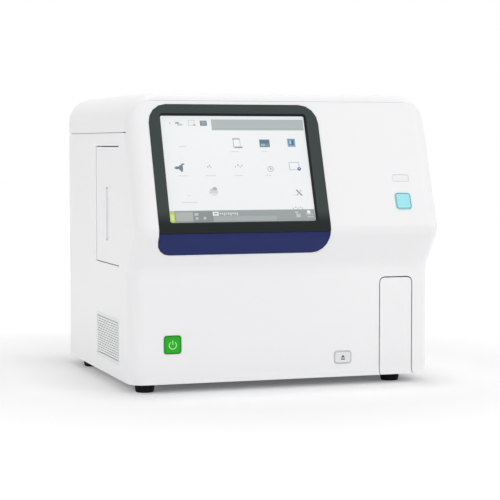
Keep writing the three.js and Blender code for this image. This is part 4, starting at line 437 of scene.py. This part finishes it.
for box in (
    # Title bar with its two rules, and the marks left of it
    (0.346, 0.030, 0.648, 0.104, "b6bfc0"),
    (0.346, 0.040, 0.648, 0.008, "bcc3c4", 2),
    (0.346, 0.116, 0.648, 0.008, "a9b1b2", 2),
    (0.268, 0.042, 0.048, 0.050, "7d8b93"),
    (0.275, 0.052, 0.034, 0.008, "b9c6cc", 2),
    (0.275, 0.068, 0.034, 0.016, "95a3aa", 2),
    (0.186, 0.036, 0.046, 0.056, "d2d7d8"),
    (0.190, 0.041, 0.038, 0.046, "f5f8f9", 2),
    (0.218, 0.078, 0.020, 0.014, "c3cacb", 3),
    (0.098, 0.056, 0.026, 0.018, "a3b0ac"),
    (0.112, 0.072, 0.034, 0.018, "c6d0cd"),
    (0.056, 0.058, 0.012, 0.018, "dfe4e4"),
    # First row: a sheet, a panel with two fields and a blue book
    (0.482, 0.212, 0.052, 0.090, "c9ced0"),
    (0.489, 0.222, 0.040, 0.068, "fafbfc", 2),
    (0.480, 0.212, 0.050, 0.010, "9aa1a4", 3),
    (0.492, 0.292, 0.054, 0.012, "8f979b", 3),
    (0.668, 0.222, 0.072, 0.074, "708794"),
    (0.674, 0.232, 0.058, 0.026, "5c7c95", 2),
    (0.678, 0.266, 0.028, 0.018, "a8c4d3", 2),
    (0.712, 0.270, 0.018, 0.018, "8a9aa3", 2),
    (0.866, 0.214, 0.056, 0.080, "8fb0c8"),
    (0.874, 0.222, 0.040, 0.056, "5f86a6", 2),
    (0.882, 0.232, 0.010, 0.034, "c5dbea", 3),
    (0.898, 0.232, 0.008, 0.044, "3f6483", 3),
    # Second row: a microscope, the hands of a clock and a page
    (0.070, 0.478, 0.030, 0.026, "71858f"),
    (0.062, 0.486, 0.012, 0.012, "71858f", 2),
    (0.096, 0.466, 0.018, 0.050, "71858f"),
    (0.110, 0.452, 0.010, 0.062, "71858f", 2),
    (0.118, 0.450, 0.014, 0.012, "71858f", 2),
    (0.104, 0.512, 0.012, 0.018, "71858f", 2),
    (0.7225, 0.488, 0.004, 0.022, "8d97a5", 3),
    (0.7225, 0.504, 0.015, 0.006, "8d97a5", 4),
    (0.858, 0.440, 0.074, 0.078, "c4cad2"),
    (0.863, 0.447, 0.064, 0.064, "f8fafc", 2),
    # Third row: the body of a flask and its shadow
    (0.284, 0.706, 0.058, 0.030, "dcdbe3", 3),
    (0.300, 0.742, 0.036, 0.012, "e6e6ec"),
    # Pale rules that stand for the pictograms' captions
    (0.465, 0.335, 0.055, 0.008, "dfe3e5"),
    (0.678, 0.335, 0.040, 0.008, "dfe3e5"),
    (0.110, 0.285, 0.050, 0.008, "dfe3e5"),
    (0.085, 0.562, 0.060, 0.008, "dfe3e5"),
    (0.270, 0.562, 0.070, 0.008, "dfe3e5"),
    (0.475, 0.562, 0.055, 0.008, "dfe3e5"),
    (0.690, 0.562, 0.035, 0.008, "dfe3e5"),
    (0.085, 0.812, 0.110, 0.008, "dfe3e5"),
    (0.860, 0.752, 0.040, 0.008, "dfe3e5"),
    (0.135, 0.748, 0.014, 0.008, "dfe3e5"),
    # Status bar: its band, the green field at its left, and the fields and marks on it
    (0.0, 0.896, 1.0, 0.104, "9fa5a6"),
    (0.030, 0.892, 0.970, 0.010, "a3abab", 2),
    (0.0, 0.904, 0.030, 0.096, "c5e061", 3),
    (0.004, 0.930, 0.022, 0.050, "dff08a", 4),
    (0.040, 0.908, 0.114, 0.078, "b4b9b6", 3),
    (0.156, 0.900, 0.136, 0.100, "8d9796", 3),
    (0.166, 0.915, 0.026, 0.024, "c3cac9", 4),
    (0.170, 0.955, 0.020, 0.022, "c3cac9", 4),
    (0.225, 0.952, 0.018, 0.024, "c3cac9", 4),
    (0.862, 0.912, 0.022, 0.018, "c3cac9", 4),
    (0.868, 0.934, 0.030, 0.034, "c3cac9", 4),
    (0.938, 0.934, 0.048, 0.010, "c3cac9", 4),
    (0.944, 0.958, 0.044, 0.012, "c3cac9", 4),
    (0.290, 0.906, 0.040, 0.036, "f4f7f7", 4),
    (0.298, 0.916, 0.024, 0.014, "a9b2b2", 5),
    (0.292, 0.950, 0.440, 0.044, "abb3b1", 3),
):
    ink_box(*box)
for disc in (
    # Second row: two groups of cells, the clock's rim and face, and a round seal on the page
    (0.290, 0.484, 0.008, "6f8792", 1, 10),
    (0.302, 0.472, 0.009, "7f959f", 1, 10),
    (0.312, 0.488, 0.008, "b8c4ca", 1, 10),
    (0.482, 0.484, 0.008, "93a1a9", 1, 10),
    (0.500, 0.468, 0.009, "7d8f99", 1, 10),
    (0.514, 0.486, 0.008, "a9b5bb", 1, 10),
    (0.526, 0.474, 0.008, "8d9ca5", 1, 10),
    (0.726, 0.506, 0.042, "b4bcc6"),
    (0.726, 0.506, 0.034, "f2f5f9", 2),
    (0.928, 0.506, 0.026, "5d6bb0", 3),
    (0.928, 0.502, 0.012, "b9c2ea", 4),
    # Third row: the flask's neck and shoulder. Status bar: a round mark at its right
    (0.322, 0.694, 0.032, "b9b6c2"),
    (0.302, 0.706, 0.026, "cdcbd5", 2),
    (0.958, 0.918, 0.026, "f2f5f5", 4),
):
    ink_disc(*disc)
# Third row: crossed tools. Status bar: a row of short strokes, and steps above its right
for step in range(6):
    ink_box(0.888 + 0.006 * step, 0.706 + 0.009 * step, 0.009, 0.012, "7b8488", 2)
    ink_box(0.918 - 0.006 * step, 0.706 + 0.009 * step, 0.007, 0.010, "b7bdc0", 3)
for step in range(9):
    ink_box(0.338 + 0.0145 * step, 0.914, 0.009, 0.016 + 0.006 * (step % 3), "d7dcdc", 4)
for step in range(5):
    ink_box(0.850 + 0.016 * step, 0.874 - 0.010 * (step % 2), 0.008, 0.016, "c9cfd0", 2)
picture_mesh = bpy.data.meshes.new("screen_picture")
picture.to_mesh(picture_mesh)
picture.free()
picture_mesh.materials.append(lit("lit picture"))
screen_picture = bpy.data.objects.new("screen_picture", picture_mesh)
bpy.context.scene.collection.objects.link(screen_picture)
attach(screen_picture, "housing")

# Keys: moulded caps in their own colours, and the small frosted window above the start key. Each
# has a dark line round its edge, painted shade of the narrow gap round it, and the power and eject
# keys have their usual signs.
dressed("start_button", moulded("cyan ABS", "a5f1fa", 0.3, 0.5, depth=0.01), 0.2)
dressed("power_button", moulded("green ABS", "12b30a", 0.3, 0.5, depth=0.01, gloss_level=0.35), 0.2)
dressed("eject_button", moulded("pale grey ABS", "eeeff0", 0.35, 0.5, depth=0.01), 0.2)
dressed("status_window", moulded("frosted acrylic", "f7f9fb", 0.3, 0.5, depth=0.01), 0.2)
key_proud, window_proud = 1.0, -0.3
line_relief, sign_relief = 0.08, 0.12
corner_facets = 6


def ink_print_and_shade(name, form, place, colour, body):
    """Puts a form drawn in millimetres in its place, in a smooth raised ink."""
    in_metres = place @ Matrix.Diagonal((0.001, 0.001, 0.001, 1))
    bmesh.ops.transform(form, matrix=in_metres, verts=form.verts)
    mesh = bpy.data.meshes.new(name)
    form.to_mesh(mesh)
    form.free()
    mesh.materials.append(moulded(name + " ink", colour, 0.4, 0.5, depth=0.005))
    piece = bpy.data.objects.new(name, mesh)
    bpy.context.scene.collection.objects.link(piece)
    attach(piece, body)


def gap_shade_line(name, place, width, height, corner, thick, colour, body):
    """A thin raised line of even width that runs round a key's face, just inside its edge: painted
    shade of the gap round the key.
    """
    form = bmesh.new()
    bmesh.ops.create_grid(form, x_segments=1, y_segments=1, size=0.5,
                          matrix=Matrix.Diagonal((width, height, 1, 1)))
    bmesh.ops.bevel(form, geom=form.verts[:], offset=corner, affect="VERTICES",
                    segments=corner_facets, profile=0.5, material=-1)
    ring = bmesh.ops.inset_region(form, faces=form.faces[:], thickness=thick,
                                  use_boundary=True, use_even_offset=True)
    inner = [face for face in form.faces if face not in ring["faces"]]
    bmesh.ops.delete(form, geom=inner, context="FACES")
    raised = bmesh.ops.extrude_face_region(form, geom=form.faces[:])["geom"]
    bmesh.ops.translate(form, vec=(0, 0, line_relief),
                        verts=[item for item in raised if isinstance(item, bmesh.types.BMVert)])
    bmesh.ops.recalc_face_normals(form, faces=form.faces[:])
    ink_print_and_shade(name, form, place, colour, body)


def on_face(across, up, out):
    """The place, in metres, of a point of the upright front face given in millimetres."""
    face_depth, face_low = -182.6, 12.0
    upright = Matrix(((1, 0, 0, 0), (0, 0, -1, 0), (0, 1, 0, 0), (0, 0, 0, 1)))
    return Matrix.Translation(Vector((across, face_depth - out, face_low + up)) / 1000) @ upright


gap_shade_line("start_gap_shade", on_lean(169.8, 34.0, key_proud), width=22.4, height=22.8, corner=3.4,
         thick=0.95, colour="6a979b", body="start_key")
gap_shade_line("power_gap_shade", on_face(-164.6, 54.3, key_proud), width=23.5, height=24.1, corner=2.9,
         thick=1.1, colour="1c6a16", body="power_key")
gap_shade_line("eject_gap_shade", on_face(88.7, 27.2, key_proud), width=24.7, height=16.5, corner=3.4,
         thick=0.75, colour="b0b3b5", body="eject_key")
gap_shade_line("status_edge_shade", on_lean(170.3, 68.5, window_proud), width=24.4, height=9.8, corner=1.9,
         thick=0.7, colour="eceef0", body="housing")

# On/off sign: an open ring with a bar in its gap, in pale green ink
ring_radius, stroke, ring_gap, ring_steps = 5.2, 1.3, 76, 28
bar_middle, bar_length = 3.6, 6.0
power_sign = bmesh.new()
upended = Matrix.Rotation(math.radians(90), 4, "X")
bmesh.ops.create_grid(power_sign, x_segments=1, y_segments=1, size=0.5,
                      matrix=Matrix.Translation((ring_radius, 0, sign_relief / 2)) @ upended
                      @ Matrix.Diagonal((stroke, sign_relief, 1, 1)))
bmesh.ops.rotate(power_sign, verts=power_sign.verts, cent=(0, 0, 0),
                 matrix=Matrix.Rotation(math.radians(90 + ring_gap / 2), 3, "Z"))
bmesh.ops.spin(power_sign, geom=power_sign.faces[:] + power_sign.edges[:] + power_sign.verts[:],
               cent=(0, 0, 0), axis=(0, 0, 1), angle=math.radians(360 - ring_gap),
               steps=ring_steps, use_duplicate=False)
bmesh.ops.recalc_face_normals(power_sign, faces=power_sign.faces[:])
bmesh.ops.create_cube(power_sign, size=1,
                      matrix=Matrix.Translation((0, bar_middle, sign_relief / 2))
                      @ Matrix.Diagonal((stroke, bar_length, sign_relief, 1)))
ink_print_and_shade("power_sign", power_sign, on_face(-164.6, 53.8, key_proud), "b6f5a4",
        "power_key")

# Eject sign: a triangle over a bar, in dark grey ink
head_radius, head_up, bar_down, bar_width, bar_thick = 2.9, 0.7, 2.9, 6.0, 1.7
head_shape = (1.2, 0.95, 1, 1)
eject_sign = bmesh.new()
bmesh.ops.create_cone(eject_sign, cap_ends=True, segments=3, radius1=head_radius,
                      radius2=head_radius, depth=sign_relief,
                      matrix=Matrix.Translation((0, head_up, sign_relief / 2))
                      @ Matrix.Diagonal(head_shape))
bmesh.ops.create_cube(eject_sign, size=1,
                      matrix=Matrix.Translation((0, -bar_down, sign_relief / 2))
                      @ Matrix.Diagonal((bar_width, bar_thick, sign_relief, 1)))
bmesh.ops.recalc_face_normals(eject_sign, faces=eject_sign.faces[:])
ink_print_and_shade("eject_sign", eject_sign, on_face(88.7, 27.4, key_proud), "4b5052",
        "eject_key")

# Feet: turned rubber pads pressed into the base pan, dull black with a little dust in the grain.
foot_rubber = moulded("black rubber", "101212", 0.8, 1.2, depth=0.08, shade=0.8, gloss_level=0.2)
for corner in ("front_left", "front_right", "rear_left", "rear_right"):
    dressed("foot_" + corner, foot_rubber, 0)


# Chassis and brackets: zinc plated sheet steel, folded, with the faint cloudy spangle of the bath
# and a soft sheen.
def bare_metal(name, colour, roughness, grain, stretch=(1, 1, 1)):
    """Bare or plated metal. Its marks are a noise, grain millimetres across, drawn out by
    stretch."""
    noise_low, noise_high, mark_shade = 0.3, 0.7, 0.8
    smoother, rougher = 0.08, 0.1
    material = bpy.data.materials.new(name)
    material.use_nodes = True
    tree = material.node_tree
    shader = tree.nodes["Principled BSDF"]
    shader.inputs["Metallic"].default_value = 1.0
    place = add_node(tree, "ShaderNodeTexCoord").outputs["Object"]
    drawn = add_node(tree, "ShaderNodeMapping", {"Scale": stretch}, {"Vector": place})
    marks = add_node(tree, "ShaderNodeTexNoise", {"Scale": 1000 / grain, "Detail": 3.0},
                     {"Vector": drawn.outputs[0]})
    base = linear(colour)
    tint = add_node(tree, "ShaderNodeMix", {
        "data_type": "RGBA", 6: (*(mark_shade * v for v in base[:3]), 1.0), 7: base,
    }, {0: marks.outputs[0]})
    tree.links.new(tint.outputs[2], shader.inputs["Base Color"])
    gloss = add_node(tree, "ShaderNodeMapRange", {
        "From Min": noise_low, "From Max": noise_high,
        "To Min": roughness - smoother, "To Max": roughness + rougher,
    }, {0: marks.outputs[0]})
    tree.links.new(gloss.outputs[0], shader.inputs["Roughness"])
    return material


zinc_plate = bare_metal("zinc plated sheet", "c3c8ca", 0.42, 9)
for part in ("base_pan", "left_side_frame", "right_side_frame", "mid_plate", "display_bracket",
             "drawer_motor_bracket", "piercer_frame"):
    dressed(part, zinc_plate, 0.2)

# Ground and turned steel: the drawer's rail, the screw, the needle, the hinge pin and the plunger.
# Their marks are drawn out along the height, which is the length of the upright pieces.
ground_steel = bare_metal("ground steel", "c4c6c8", 0.25, 2, stretch=(1, 1, 0.06))
for part in ("drawer_rail", "lead_screw", "piercing_needle", "door_hinge_pin", "syringe_plunger"):
    dressed(part, ground_steel, 0)

# Cast and machined aluminium housings of the drawer's motor, the detector, the heated block, the
# power supply and the screen's panel, and the brass pinion on the motor's shaft.
aluminium = bare_metal("machined aluminium", "b4b7b9", 0.38, 3, stretch=(0.1, 1, 1))
for part in ("drawer_motor", "optical_detector", "reaction_block", "power_supply", "lcd_panel"):
    dressed(part, aluminium)
dressed("drive_pinion", bare_metal("turned brass", "c2a05a", 0.3, 2), 0)

# Inner mouldings: grey glass-filled nylon for the carriages, the bay, the switches and the ports,
# and darker acetal for the holder that the tube stands in.
grey_nylon = moulded("grey nylon", "8f9698", 0.55, 1.0, depth=0.05, shade=0.9)
for part in ("drawer_carriage", "needle_carriage", "reagent_bay", "valve_manifold", "fluid_ports",
             "start_switch", "power_switch", "eject_switch"):
    dressed(part, grey_nylon, 0.2)
dressed("tube_holder", moulded("dark grey acetal", "3f4648", 0.4, 0.8), 0.4)

# Black plastic of the fan, the pump, the piercer's motor and the mains inlet with its rocker.
black_nylon = moulded("black nylon", "1d1f20", 0.5, 1.0, shade=0.85)
for part in ("fan_frame", "fan_rotor", "air_pump", "piercer_motor", "power_inlet", "main_rocker"):
    dressed(part, black_nylon, 0.25)

# Clear plastic of the sample tube and of the syringe unit. The tube has a rubber stopper that the
# needle goes through.
clear_plastic = moulded("clear polystyrene", "eef5f7", 0.12, 2.0, depth=0)
clear_shader = clear_plastic.node_tree.nodes["Principled BSDF"]
clear_shader.inputs["Transmission Weight"].default_value = 0.85
dressed("sample_tube", clear_plastic, 0)
dressed("syringe_unit", clear_plastic, 0.2)
dressed("tube_cap", moulded("lilac rubber stopper", "8d6fb5", 0.5, 1.0))

# Dye bottles: brown blow-moulded polyethylene that keeps the light out, with a screw cap.
for bottle in ("dye_bottle_front", "dye_bottle_rear"):
    brown = moulded(bottle + " polyethylene", "6e4524", 0.35, 2.0, depth=0.05, shade=0.85)
    dressed(bottle, brown, 0.5)

# Circuit boards: green solder mask over copper. What stands on the rear one are its jacks, whose
# shells are pressed from nickel plated sheet.
board_depth, board_half = 0.203, 0.0009
board_green = moulded("green solder mask", "2c6a3b", 0.4, 3.0, depth=0.02, shade=0.75)
dressed("main_board", board_green, 0)
ports = dressed("interface_board", board_green, 0)
ports.data.materials.append(bare_metal("nickel plated shell", "b6b8ba", 0.3, 4))
for face in ports.data.polygons:
    corners = (ports.data.vertices[corner].co for corner in face.vertices)
    if any(abs(corner.y - board_depth) > board_half for corner in corners):
        face.material_index = 1
